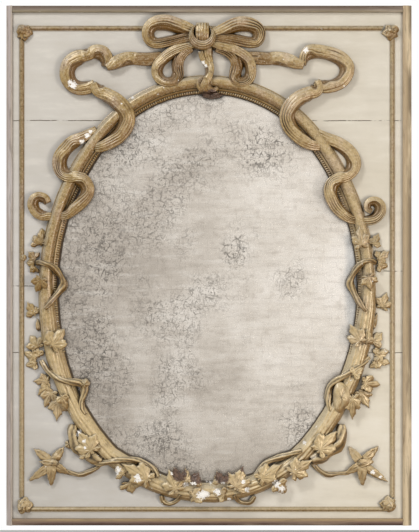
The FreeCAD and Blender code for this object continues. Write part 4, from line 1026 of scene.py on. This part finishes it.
TAIL_LEFT = (
    (97, 130, 8, 20), (84, 137, 11, 24), (73, 142, 12.5, 26), (66, 148.5, 13, 26),
    (60.5, 156, 13, 26), (59, 164, 13, 26), (61.5, 172, 12, 30), (68, 176.5, 12, 36),
    (77, 177.8, 12, 44), (85, 181, 12, 48), (89, 188, 12, 46), (88, 195, 12, 44),
    (83, 202, 12, 42), (76, 208.5, 11, 40), (68, 214.5, 9.5, 34), (60, 217, 8, 22),
)
CURL_LEFT = (
    (52.5, 216.5, 7.5, 22), (47.5, 216.5, 8.5, 24), (41, 215.8, 9, 24), (35.3, 211.5, 9, 24),
    (32.3, 205, 9, 24), (33.8, 199, 8.5, 24), (39, 196, 8, 22), (45.5, 198, 8, 22),
    (48.5, 203, 6.5, 20),
)
RUN_RIGHT = (
    (244, 58, 12, 17), (255, 58.5, 13, 21), (267, 59, 13, 23), (277, 58.3, 12.5, 26),
    (286, 60, 13, 30), (295, 63.5, 12, 32), (303.5, 66, 8, 29),
)
BEND_RIGHT = (
    (302.5, 66, 6, 26), (303.5, 58, 9.5, 29), (308.5, 52, 12.5, 30), (316.5, 51.5, 13, 29),
    (326, 53, 13, 28), (335, 55.5, 13, 28), (343, 60.5, 13, 28), (347.5, 68, 13, 28),
    (346, 76.5, 12.5, 28), (340, 83.5, 12, 28), (331, 87, 12, 28), (322, 87.3, 11.5, 28),
    (315.5, 82.5, 8, 28),
)
COIL_RIGHT = (
    (317.5, 81, 6, 30), (317, 90.5, 11.5, 34), (308, 94, 13.5, 40), (298, 99, 14.5, 46),
    (290, 107, 15, 48), (286.5, 117, 15, 46), (289, 127, 14.5, 44), (295.5, 135.5, 13, 42),
    (304, 142, 12.5, 40), (312, 145.5, 11, 36), (320, 146.5, 9, 26),
)
TAIL_RIGHT = (
    (317, 133, 8, 20), (327, 138.5, 11, 24), (336, 142.5, 12.5, 26), (345, 148, 13, 26),
    (351.5, 155, 13, 26), (354.3, 163.5, 13, 26), (352, 171, 12, 30), (346, 176, 12, 36),
    (338, 179, 12, 44), (331.5, 183.5, 12, 46), (329, 191, 12, 46), (331, 199.5, 12, 46),
    (336, 208, 11.5, 42), (343, 215, 10.5, 40), (350, 219, 9, 34), (357, 220.5, 8, 22),
)
CURL_RIGHT = (
    (359.5, 221.5, 8, 22), (367, 221.3, 9, 24), (375, 218.8, 9.5, 25), (380.3, 212.5, 9.5, 26),
    (380.3, 205, 9, 26), (374.5, 200.5, 8, 24), (367.8, 202.5, 7, 22), (366.5, 208.5, 6, 22),
    (371, 212, 4.5, 20),
)
LOOP_UPPER_LEFT = (
    (194, 32.5, 10, 34), (187, 29, 12.5, 33), (176, 25, 13.5, 32), (166, 22.3, 14, 31),
    (156, 22.8, 12.5, 30), (149.2, 27.5, 11, 30), (147.2, 34.5, 10.5, 30), (149.5, 41, 10, 28),
    (156, 44.4, 9.6, 28), (165, 43.3, 9.5, 27), (177, 40.4, 9.3, 28), (186, 38.3, 9.5, 30),
    (193, 38, 8, 32),
)
LOOP_UPPER_RIGHT = (
    (211.5, 35, 9, 34), (219, 32, 11, 33), (227, 28.5, 12.5, 32), (235, 25, 13.5, 31),
    (243, 23.8, 14, 30), (252, 25.4, 12.5, 30), (258.3, 30, 11.5, 30), (259.8, 36.5, 11, 30),
    (256.5, 42.3, 10.5, 28), (249, 43.3, 10.5, 28), (240, 41.6, 10.5, 27), (230, 39.7, 10, 28),
    (220, 38.7, 9, 30), (212.5, 38, 7, 32),
)
LOOP_LOWER_LEFT = (
    (195, 45, 8, 28), (184, 47.5, 10, 27), (173.5, 52, 11, 26), (164, 58.5, 10.5, 26),
    (157.5, 66, 10, 26), (156.4, 74, 9.6, 26), (160.5, 80.6, 9.4, 32), (168, 83.5, 8.6, 38),
    (175.3, 81.5, 9, 36), (178.5, 75, 10.5, 30), (178, 67, 11, 27), (179.5, 59.5, 10.5, 26),
    (184.5, 53.3, 9, 26), (192, 49.3, 6, 26),
)
LOOP_LOWER_RIGHT = (
    (211, 44, 8, 28), (222, 46.5, 10, 27), (233, 50.3, 10.5, 26), (242.5, 55, 10.5, 26),
    (249, 61.5, 10.5, 26), (251.3, 70, 10, 26), (250, 78, 9.8, 28), (245.3, 82.8, 9, 34),
    (238.7, 83.5, 8.6, 38), (234.5, 79.3, 10, 34), (235, 72.5, 11.5, 28), (236.3, 65, 11.5, 27),
    (233.5, 58, 10.5, 26), (226.5, 52.7, 8.5, 26), (216, 49.7, 6, 26),
)
DROP_FRONT = (
    (206, 49, 12, 30), (206.5, 56, 11.5, 30), (208.5, 63, 9.5, 31), (210.3, 70, 8, 38),
    (209, 77, 7.5, 45), (206.5, 82.5, 8.5, 46), (205, 88, 11, 42), (204.5, 93, 11, 32),
)
DROP_LEFT = ((204.5, 79, 4, 42), (200.5, 81.5, 5, 42), (199.2, 86.5, 5.5, 40), (202, 91.5, 5, 36))
DROP_HOOK = ((207, 83, 4, 44), (209, 88.5, 4.5, 42), (213.5, 91, 4.5, 38), (217.8, 88.3, 3.5, 34))
DROP_FOLD = ((200.5, 52, 5, 34), (202, 58, 5.5, 36), (204.5, 63, 5, 36), (208, 67.5, 4, 35))
KNOT_STRAP = (
    (202.4, 24, 12.5, 38), (202.4, 28, 13.4, 46), (202.4, 34, 13.8, 50), (202.4, 40, 13, 47),
    (202.4, 44.8, 11.5, 34),
)

STEM_LEFT_UPPER = (
    (36, 262.8, 4, 14), (41, 262.5, 4.5, 32), (46.5, 264, 5, 40), (52, 266, 5, 38),
    (57.5, 270.5, 5, 32), (62.3, 277.3, 5, 28), (64, 284.3, 6.5, 28), (60.3, 290.7, 5.5, 30),
    (55.5, 297, 5, 36), (50.5, 303.5, 4.5, 40), (46, 308.5, 3.5, 38),
)
STEM_LEFT_LOWER = (
    (41, 360, 4, 14), (48, 370, 5, 26), (57.5, 376.8, 5, 38), (65.5, 380, 5.5, 42),
    (73, 381.5, 5.5, 42), (80, 382.3, 6.5, 34), (85, 386.5, 6.5, 30), (84.3, 394, 5.5, 28),
    (82, 401, 5, 28), (82.5, 408, 4.5, 28), (86, 413.5, 3.5, 26),
)
STEM_LEFT_FOOT = (
    (74.5, 434, 3, 12), (75.5, 441, 3.5, 14), (80, 450, 4, 16), (89, 459, 4.5, 18),
    (98, 462.5, 5, 24), (106, 461.5, 5, 36), (116, 459.5, 5, 42), (126, 458.5, 5, 40),
    (136, 459.5, 5, 32), (146, 462.5, 5, 30), (153.4, 468, 4.5, 32), (158.5, 475.5, 4, 36),
)
STEM_SPRAY_LEFT = (
    (66, 471, 4, 12), (74, 473.5, 4, 12), (81, 474.5, 4.5, 13), (88, 472, 4, 14),
    (95.7, 468.3, 4, 16), (101, 464, 3.5, 18),
)
TENDRIL_LEFT = (
    (180.5, 494, 4, 34), (177.5, 499.5, 4, 16), (170, 503.3, 4, 12), (163.5, 501, 4, 12),
    (161.3, 495, 3.5, 18),
)
TENDRIL_RIGHT = (
    (234.5, 494, 4, 34), (238, 500, 4, 16), (244, 502.5, 4, 12), (250.5, 501.5, 4, 12),
    (254.5, 495.5, 3.5, 18),
)
STEM_RIGHT_FOOT = (
    (301, 449.3, 4.5, 40), (290, 452.8, 5, 36), (279.7, 456.5, 5, 30), (267.5, 461, 5, 30),
    (260.6, 467, 4.5, 32), (255, 474, 4, 38),
)
STEM_SPRAY_RIGHT = (
    (312, 462.5, 4, 16), (318.5, 469.5, 4, 14), (327.4, 474.2, 4.5, 13), (338, 473, 4, 13),
    (347, 472.3, 4, 13), (353, 468, 4, 14),
)
STEM_RIGHT_UPPER = (
    (376, 263, 4, 14), (370, 260.8, 4.5, 32), (363.5, 261.5, 5, 40), (357.5, 266.5, 5, 36),
    (352.5, 274.5, 5, 30), (349.3, 283, 6.5, 28), (352.3, 290.5, 5.5, 30), (356, 298, 5, 36),
    (360.5, 305, 4.5, 40), (365.5, 311, 3.5, 36),
)
STEM_RIGHT_LOWER = (
    (369, 356.5, 4, 14), (363, 362.5, 5, 24), (354, 368.5, 5, 38), (345.4, 374, 5.5, 42),
    (336, 379.8, 6, 38), (329.5, 386.5, 6, 30), (328, 394.5, 5.5, 28), (328, 402.5, 5, 28),
    (330, 410.5, 4, 28),
)

# leaves: foot x, y, tip x, y, width, lobes and, where they lie on something, rise of the foot
LEAVES_LEFT_UPPER = (
    (40.4, 249, 34, 235, 10, 2, 0), (41, 252, 42.3, 228, 11, 2, 0), (38.5, 262, 29, 252, 10, 2, 0),
    (38.5, 263.5, 26.5, 262.5, 9, 2, 0), (38, 264.5, 30.5, 272, 9, 2, 0),
    (45, 272.5, 37, 292, 13, 3, 34), (37.5, 320, 28, 302.5, 11, 2, 0),
    (39, 333, 37.5, 318, 4, 1, 0),
)
LEAVES_LEFT_LOWER = (
    (41, 353, 30.5, 335, 14, 3, 0), (47, 353, 65, 328, 18, 3, 38), (41.5, 361, 24, 352, 10, 2, 0),
    (41.5, 361.5, 25.5, 365.5, 9, 2, 0), (41.5, 361, 34, 346, 9, 2, 0),
    (55, 381, 34, 381.5, 12, 3, 0), (54, 383, 38.5, 395, 11, 2, 0), (55, 384, 45, 407.5, 13, 3, 0),
    (60, 390, 57, 419.5, 15, 3, 0), (60, 389, 68, 409, 9, 2, 36),
)
FORK_LEFT = (
    (73.5, 424, 6, 18), (73, 432, 10, 24), (76, 440.5, 12.5, 27), (83, 449, 13, 28),
    (92, 455.5, 12, 29), (102, 460, 9, 30),
)
FORK_RIGHT = (
    (341.5, 424, 6, 18), (341, 433, 10, 24), (338, 441.5, 12.5, 27), (330.5, 449, 13, 28),
    (321, 455, 12, 29), (311, 460, 9, 30),
)
LEAVES_LEFT_FOOT = (
    (99, 459, 79, 431, 19, 3, 33), (90, 458, 79, 447, 9, 2, 30), (160, 485, 124, 463, 17, 3, 34),
)
LEAVES_SPRAY_LEFT = (
    (55, 464, 34.5, 448.5, 8, 1, 12), (52, 463, 64, 446.5, 8, 1, 12),
    (58, 460, 28.5, 481, 7.5, 1, 14), (52.5, 458, 51.5, 486, 8, 1, 16),
    (48, 461, 69.5, 473.5, 8, 1, 14), (62, 463.5, 40, 461, 7, 1, 18),
)
LEAVES_FOOT_LEFT = (
    (128, 477, 116, 465, 12, 2, 20), (129, 477, 132, 493, 17, 3, 0),
    (130, 478, 146.5, 475.5, 8, 2, 30), (180, 497, 169, 469.5, 18, 3, 38),
    (184, 486, 174, 466.5, 10, 2, 38), (187, 486, 185.5, 467, 9, 2, 38),
    (191, 487, 198, 471.5, 12, 2, 38), (184, 496, 210, 492, 12, 3, 24),
)
LEAVES_FOOT_RIGHT = (
    (222, 486, 217, 470.5, 11, 2, 38), (227, 486, 228.5, 471.5, 9, 2, 38),
    (232, 495, 242.5, 466.5, 18, 3, 38), (233, 492, 249, 478, 11, 2, 38),
    (230, 495, 213.5, 491, 11, 2, 24),
)
LEAVES_RIGHT_FOOT = (
    (273, 477, 285.5, 492, 13, 2, 34), (283, 477, 310.5, 459.5, 17, 3, 36),
    (310, 458, 336, 431, 18, 3, 34), (250, 484, 281, 463, 15, 3, 34),
)
LEAVES_SPRAY_RIGHT = (
    (363, 465, 348, 446, 8, 1, 12), (358, 465, 378.5, 446, 8, 1, 12),
    (361, 458, 362.3, 486, 8, 1, 16), (356, 460, 387, 481, 7.5, 1, 14),
    (366, 461, 344.5, 473.5, 7.5, 1, 14), (354, 463, 374, 461, 7, 1, 18),
)
LEAVES_RIGHT_UPPER = (
    (370, 250, 378.3, 234, 10, 2, 0), (373, 262.5, 388.5, 251.5, 11, 2, 0),
    (373, 264, 388, 266, 10, 2, 0), (361, 255, 358, 226.5, 13, 3, 38),
    (366, 270, 370, 290, 13, 3, 34), (379.5, 314, 386.5, 293, 13, 3, 0),
    (372, 332, 377, 313, 4, 1, 0),
)
LEAVES_RIGHT_LOWER = (
    (368, 348, 381.5, 332.5, 13, 2, 0), (363.5, 349, 349, 324.5, 14, 3, 38),
    (366, 349, 366, 328.5, 10, 2, 24), (369.5, 358, 388.5, 350.5, 11, 2, 0),
    (369.5, 358.5, 390, 363, 10, 2, 0), (369.5, 359, 380, 368, 9, 2, 0),
    (347, 377, 362.5, 367, 10, 2, 34), (355, 382, 380.5, 384.5, 13, 3, 0),
    (356, 384, 368.5, 406.5, 14, 3, 0), (351.5, 386, 352, 418.5, 12, 3, 30),
)

# buds and flower hearts: x, y, half width, half height in pixels, rise, ridges, winding
BUDS = {
    "vine_left_upper": ((23.5, 257.8, 3.2, 3.2, 12, 0, 0),),
    "vine_left_lower": ((85, 383.5, 5, 5, 36, 5, 0.3),),
    "vine_left_foot": ((69, 444, 4.2, 4.5, 14, 5, 0.4),),
    "flower_spray_left": ((53.5, 462.5, 5.5, 4, 27, 6, 0.5),),
    "vine_right_foot": ((340, 443, 3.5, 5, 14, 4, 0.3),),
    "flower_spray_right": ((360.5, 463, 5.5, 4, 27, 6, 0.5),),
    "vine_right_lower": ((376.5, 359.3, 3, 3, 16, 0, 0), (340.5, 396.5, 8.5, 15, 44, 3, 0.15)),
}

RIBBONS = (
    ("ribbon_run_left", (RUN_LEFT,)), ("ribbon_run_right", (RUN_RIGHT,)),
    ("ribbon_coil_left", (BEND_LEFT, COIL_LEFT)), ("ribbon_coil_right", (BEND_RIGHT, COIL_RIGHT)),
    ("ribbon_tail_left", (TAIL_LEFT, CURL_LEFT)), ("ribbon_tail_right", (TAIL_RIGHT, CURL_RIGHT)),
    ("bow_loop_upper_left", (LOOP_UPPER_LEFT,)), ("bow_loop_upper_right", (LOOP_UPPER_RIGHT,)),
    ("bow_loop_lower_left", (LOOP_LOWER_LEFT,)), ("bow_loop_lower_right", (LOOP_LOWER_RIGHT,)),
    ("bow_drop", (DROP_FRONT, DROP_LEFT, DROP_HOOK, DROP_FOLD)),
)
FOLIAGE = (
    ("vine_left_upper", (STEM_LEFT_UPPER,), LEAVES_LEFT_UPPER),
    ("vine_left_lower", (STEM_LEFT_LOWER,), LEAVES_LEFT_LOWER),
    ("vine_left_foot", (FORK_LEFT, STEM_LEFT_FOOT), LEAVES_LEFT_FOOT),
    ("flower_spray_left", (STEM_SPRAY_LEFT,), LEAVES_SPRAY_LEFT),
    ("leaves_foot_left", (TENDRIL_LEFT,), LEAVES_FOOT_LEFT),
    ("leaves_foot_right", (TENDRIL_RIGHT,), LEAVES_FOOT_RIGHT),
    ("vine_right_foot", (FORK_RIGHT, STEM_RIGHT_FOOT), LEAVES_RIGHT_FOOT),
    ("flower_spray_right", (STEM_SPRAY_RIGHT,), LEAVES_SPRAY_RIGHT),
    ("vine_right_upper", (STEM_RIGHT_UPPER,), LEAVES_RIGHT_UPPER),
    ("vine_right_lower", (STEM_RIGHT_LOWER,), LEAVES_RIGHT_LOWER),
)
# the buds in the corners of the bead: x, y, half width, half height in pixels, side
CORNERS = (
    ("corner_knot_top_left", 24, 31.9, 9, 8.6, 1),
    ("corner_knot_top_right", 391, 31.9, 9.5, 8.6, -1),
    ("corner_knot_bottom_left", 24.3, 505.5, 8.4, 9.9, -1),
    ("corner_knot_bottom_right", 388.5, 504.4, 8.4, 9.4, 1),
)
# their leaves: foot x, y and tip x, y outward from the bud's middle, width, rise
CORNER_LEAVES = (
    (3, 0, -9.5, -1.5, 9, 10), (0, 3, -1.5, -9.5, 9, 10), (-2, 1, 6.5, -5.5, 7, 9),
    (1, -2, -5.5, 6.5, 7, 9),
)

# how each ribbon shows its inner face: reeds, side it is on all along, shares fully turned, twist
FACES = {
    LOOP_UPPER_LEFT: (3, 0.75, ((0.72, 1.1),), 0), LOOP_UPPER_RIGHT: (3, -0.6, ((0.66, 1.1),), 0),
    LOOP_LOWER_LEFT: (4, 0.35, ((0.62, 1.1),), 0), LOOP_LOWER_RIGHT: (3, -0.35, ((0.62, 1.1),), 0),
    RUN_LEFT: (2, 0, ((0.0, 0.45),), 1), RUN_RIGHT: (2, 0, ((0.0, 0.45),), 1),
    BEND_LEFT: (2, 0, (), 0), BEND_RIGHT: (2, 0, (), 0),
}


# a ribbon wider than this, in pixels, has four reeds, and a narrower one three
WIDE_RIBBON = 12.6
# the scroll at the foot of the drop, as a bud, and the ellipses of the knot: x, y, half width
# and half height in pixels
DROP_SCROLL = (212, 95.3, 10, 3.6, 15, 7, 0.2)
RING_OUTER = (202.3, 38.1, 13.6, 13.4)
RING_INNER = (202.3, 34, 8.4, 8)
RING_RISE = 47
# how deep in tone the leaves, the flower sprays and the corner buds are, from 0 to 1
LEAF_TONE, SPRAY_TONE, BUD_TONE = 0.12, 0.4, 0.35


def make_ribbons(material):
    """The bow, its loops and the ribbons that run over the moulding."""
    for name, bands in RIBBONS:
        carve = Carving()
        for rows in bands:
            few = 4 if max(r[2] for r in rows) > WIDE_RIBBON else 3
            reeds, inside, turned, twist = FACES.get(rows, (few, 0, (), 0))
            ribbon(carve, rows, reeds, inside=inside, turned=turned, twist=twist)
        if name == "bow_drop":
            bud(carve, *DROP_SCROLL, floor=-2)
        carve.piece(name + "_carved", material, [name])
    carve = Carving()
    wind_ring(carve, RING_OUTER, RING_INNER, RING_RISE)
    ribbon(carve, KNOT_STRAP, 4, depth=3, lining=0)
    carve.piece("bow_knot_carved", material, ["bow_knot"])


def wind_ring(carve, outer, inner, rise):
    """The wound ring of the knot between two ellipses: four reeds, thickest at the foot."""
    (xo, zo), (xi, zi) = at(*outer[:2]), at(*inner[:2])
    skins = []
    for i in range(73):
        angle = 2 * math.pi * i / 72
        cos, sin = math.cos(angle), math.sin(angle)
        top = rise + 2.5 * max(0.0, -sin) - 7 * max(0.0, sin)
        far = (xo + outer[2] * PIXEL * cos, zo + outer[3] * PIXEL * sin)
        close = (xi + inner[2] * PIXEL * cos, zi + inner[3] * PIXEL * sin)
        skin = []
        for k in range(29):
            t = k / 28
            groove = abs(math.cos(4 * math.pi * t + 0.3 * math.sin(2 * angle))) ** 8
            high = top - 13 + (13 - 2.4 * groove) * math.sin(math.pi * t) ** 0.45
            skin.append((t, high, 0.6 * groove))
        skin += [(0.97, 0, 0.9), (0.03, 0, 0.9)]
        wide, tall = far[0] - close[0], far[1] - close[1]
        skins.append([
            carve.add(close[0] + wide * t, close[1] + tall * t, h, c) for t, h, c in skin
        ])
    skins[-1] = skins[0]
    carve.strip(skins)
    bud(carve, inner[0], inner[1], inner[2] - 0.5, inner[3] - 0.5, 16, 0, 0, floor=0)


def make_foliage(material):
    """The vines, leaves and flowers that climb both sides of the moulding."""
    for name, stems, leaves in FOLIAGE:
        carve = Carving(SPRAY_TONE if "spray" in name else LEAF_TONE)
        for rows in stems:
            stem(carve, rows)
        for bx, by, tx, ty, width, lobes, rise in leaves:
            leaf(carve, bx, by, tx, ty, width, lobes, rise or None)
        for cx, cy, rx, ry, rise, ridges, spiral in BUDS.get(name, ()):
            bud(carve, cx, cy, rx, ry, rise, ridges, spiral)
        carve.piece(name + "_carved", material, [name])


def make_corner_buds(material):
    """The leafy buds wound round the corners of the bead."""
    for name, cx, cy, rx, ry, side in CORNERS:
        carve = Carving(BUD_TONE)
        out_x = 1 if "right" in name else -1
        out_y = 1 if "bottom" in name else -1
        middle = cx + 1.5 * out_x, cy + 1.5 * out_y
        bud(carve, *middle, rx * 0.62, ry * 0.62, 23, 3, 1.1 * side, floor=0)
        for bx, by, tx, ty, width, rise in CORNER_LEAVES:
            foot, tip = (cx + bx * out_x, cy + by * out_y), (cx + tx * out_x, cy + ty * out_y)
            leaf(carve, *foot, *tip, width, 1, rise)
        carve.piece(name + "_carved", material, [name])


def finish_nodes(stem_name, ends, material):
    """Give a finish to CAD nodes: one for each end of the name."""
    for end in ends.split():
        name = stem_name + end
        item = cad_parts[name]
        item = item if hasattr(item, "material_slots") else bpy.data.objects[name]
        if not item.material_slots:
            item.data.materials.append(material)
        for slot in item.material_slots:
            slot.material = material


# ---------------------------------------------------------------- studio

FLOOR_Z = -0.9
LENS_MM = 120
# the middle of the picture, and how far before the panel the camera stands, in metres
CAMERA_X, CAMERA_Z, CAMERA_AWAY = 0.0066, 0.0664, 5.348
AIM = Vector((0, 0, 0.06))
# soft lamps: place and size in metres, power in watts, colour
LAMPS = {
    "key_upper_left": ((-1.8, -3.2, 2.9), 1.1, 77, "#ffffff"),
    "fill_right": ((2.7, -3.4, -0.2), 1.3, 70, "#fff8ef"),
}
WORLD_LIGHT = 0.42


def make_light():
    """A white studio: a key lamp above and to the left, and a warmer fill from the right."""
    world = bpy.data.worlds.new("studio")
    world.use_nodes = True
    bpy.context.scene.world = world
    tree = world.node_tree
    tree.nodes.clear()
    rays = add(tree, "ShaderNodeLightPath").outputs
    seen = Flow(tree, rays["Is Camera Ray"]).most(rays["Is Glossy Ray"])
    seen = seen.most(rays["Is Transmission Ray"])
    soft, white = (
        add(tree, "ShaderNodeBackground", {"Color": "#ffffff", "Strength": strength}).outputs[0]
        for strength in (WORLD_LIGHT, 1.0)
    )
    both = seen.node("ShaderNodeMixShader", {0: seen, 1: soft, 2: white})
    add(tree, "ShaderNodeOutputWorld", {0: both})
    for name, (spot, size, power, code) in LAMPS.items():
        lamp = bpy.data.lights.new(name, "AREA")
        lamp.size, lamp.energy, lamp.color = size, power, colour(code)[:3]
        item = stand(name, lamp)
        item.location = spot
        item.rotation_euler = (AIM - item.location).to_track_quat("-Z", "Y").to_euler()


def make_floor():
    """A plain pale floor below the mirror, out of the camera's view."""
    mesh = bpy.data.meshes.new("studio_floor")
    corners = [(x, y, FLOOR_Z) for x, y in ((-3, -4), (3, -4), (3, 1.1), (-3, 1.1))]
    mesh.from_pydata(corners, [], [(0, 1, 2, 3)])
    mesh.materials.append(Paint("pale_studio_floor", "#e9e8e6").finish(0.9))
    stand("studio_floor", mesh)


def make_camera():
    """The photograph's view: square on to the middle of the picture."""
    lens = bpy.data.cameras.new("camera")
    lens.lens = LENS_MM
    camera = stand("camera", lens)
    camera.location = (CAMERA_X, PANEL_Y * MM - CAMERA_AWAY, CAMERA_Z)
    camera.rotation_euler = (math.pi / 2, 0, 0)
    bpy.context.scene.camera = camera


make_camera()
make_light()
make_floor()
bpy.context.scene.view_settings.view_transform = "Standard"

gilding = make_gilding("toned_water_gilding", 0.0)
make_oval_moulding(gilding)
make_sight_slip(gilding)
make_sight_teeth(gilding)
make_ribbons(gilding)
make_foliage(gilding)
make_corner_buds(gilding)

finish_nodes("inner_moulding_", "left right top bottom", make_gilding("rubbed_bead_gilding", 0.33))
finish_nodes(
    "panel_board_", "top upper_left upper_right middle_left middle_right bottom", make_distemper()
)
for side, paint in FRAME_PAINTS.items():
    finish_nodes("outer_", side, make_frame_paint(*paint))
finish_nodes("", "mirror_glass", make_old_mirror())
softwood = make_bare_wood()
finish_nodes("back_", "bar board_bottom board_middle board_top batten_left batten_right", softwood)
finish_nodes("", "glazing_blocks", softwood)
finish_nodes("hanging_plate_", "left right", make_iron())
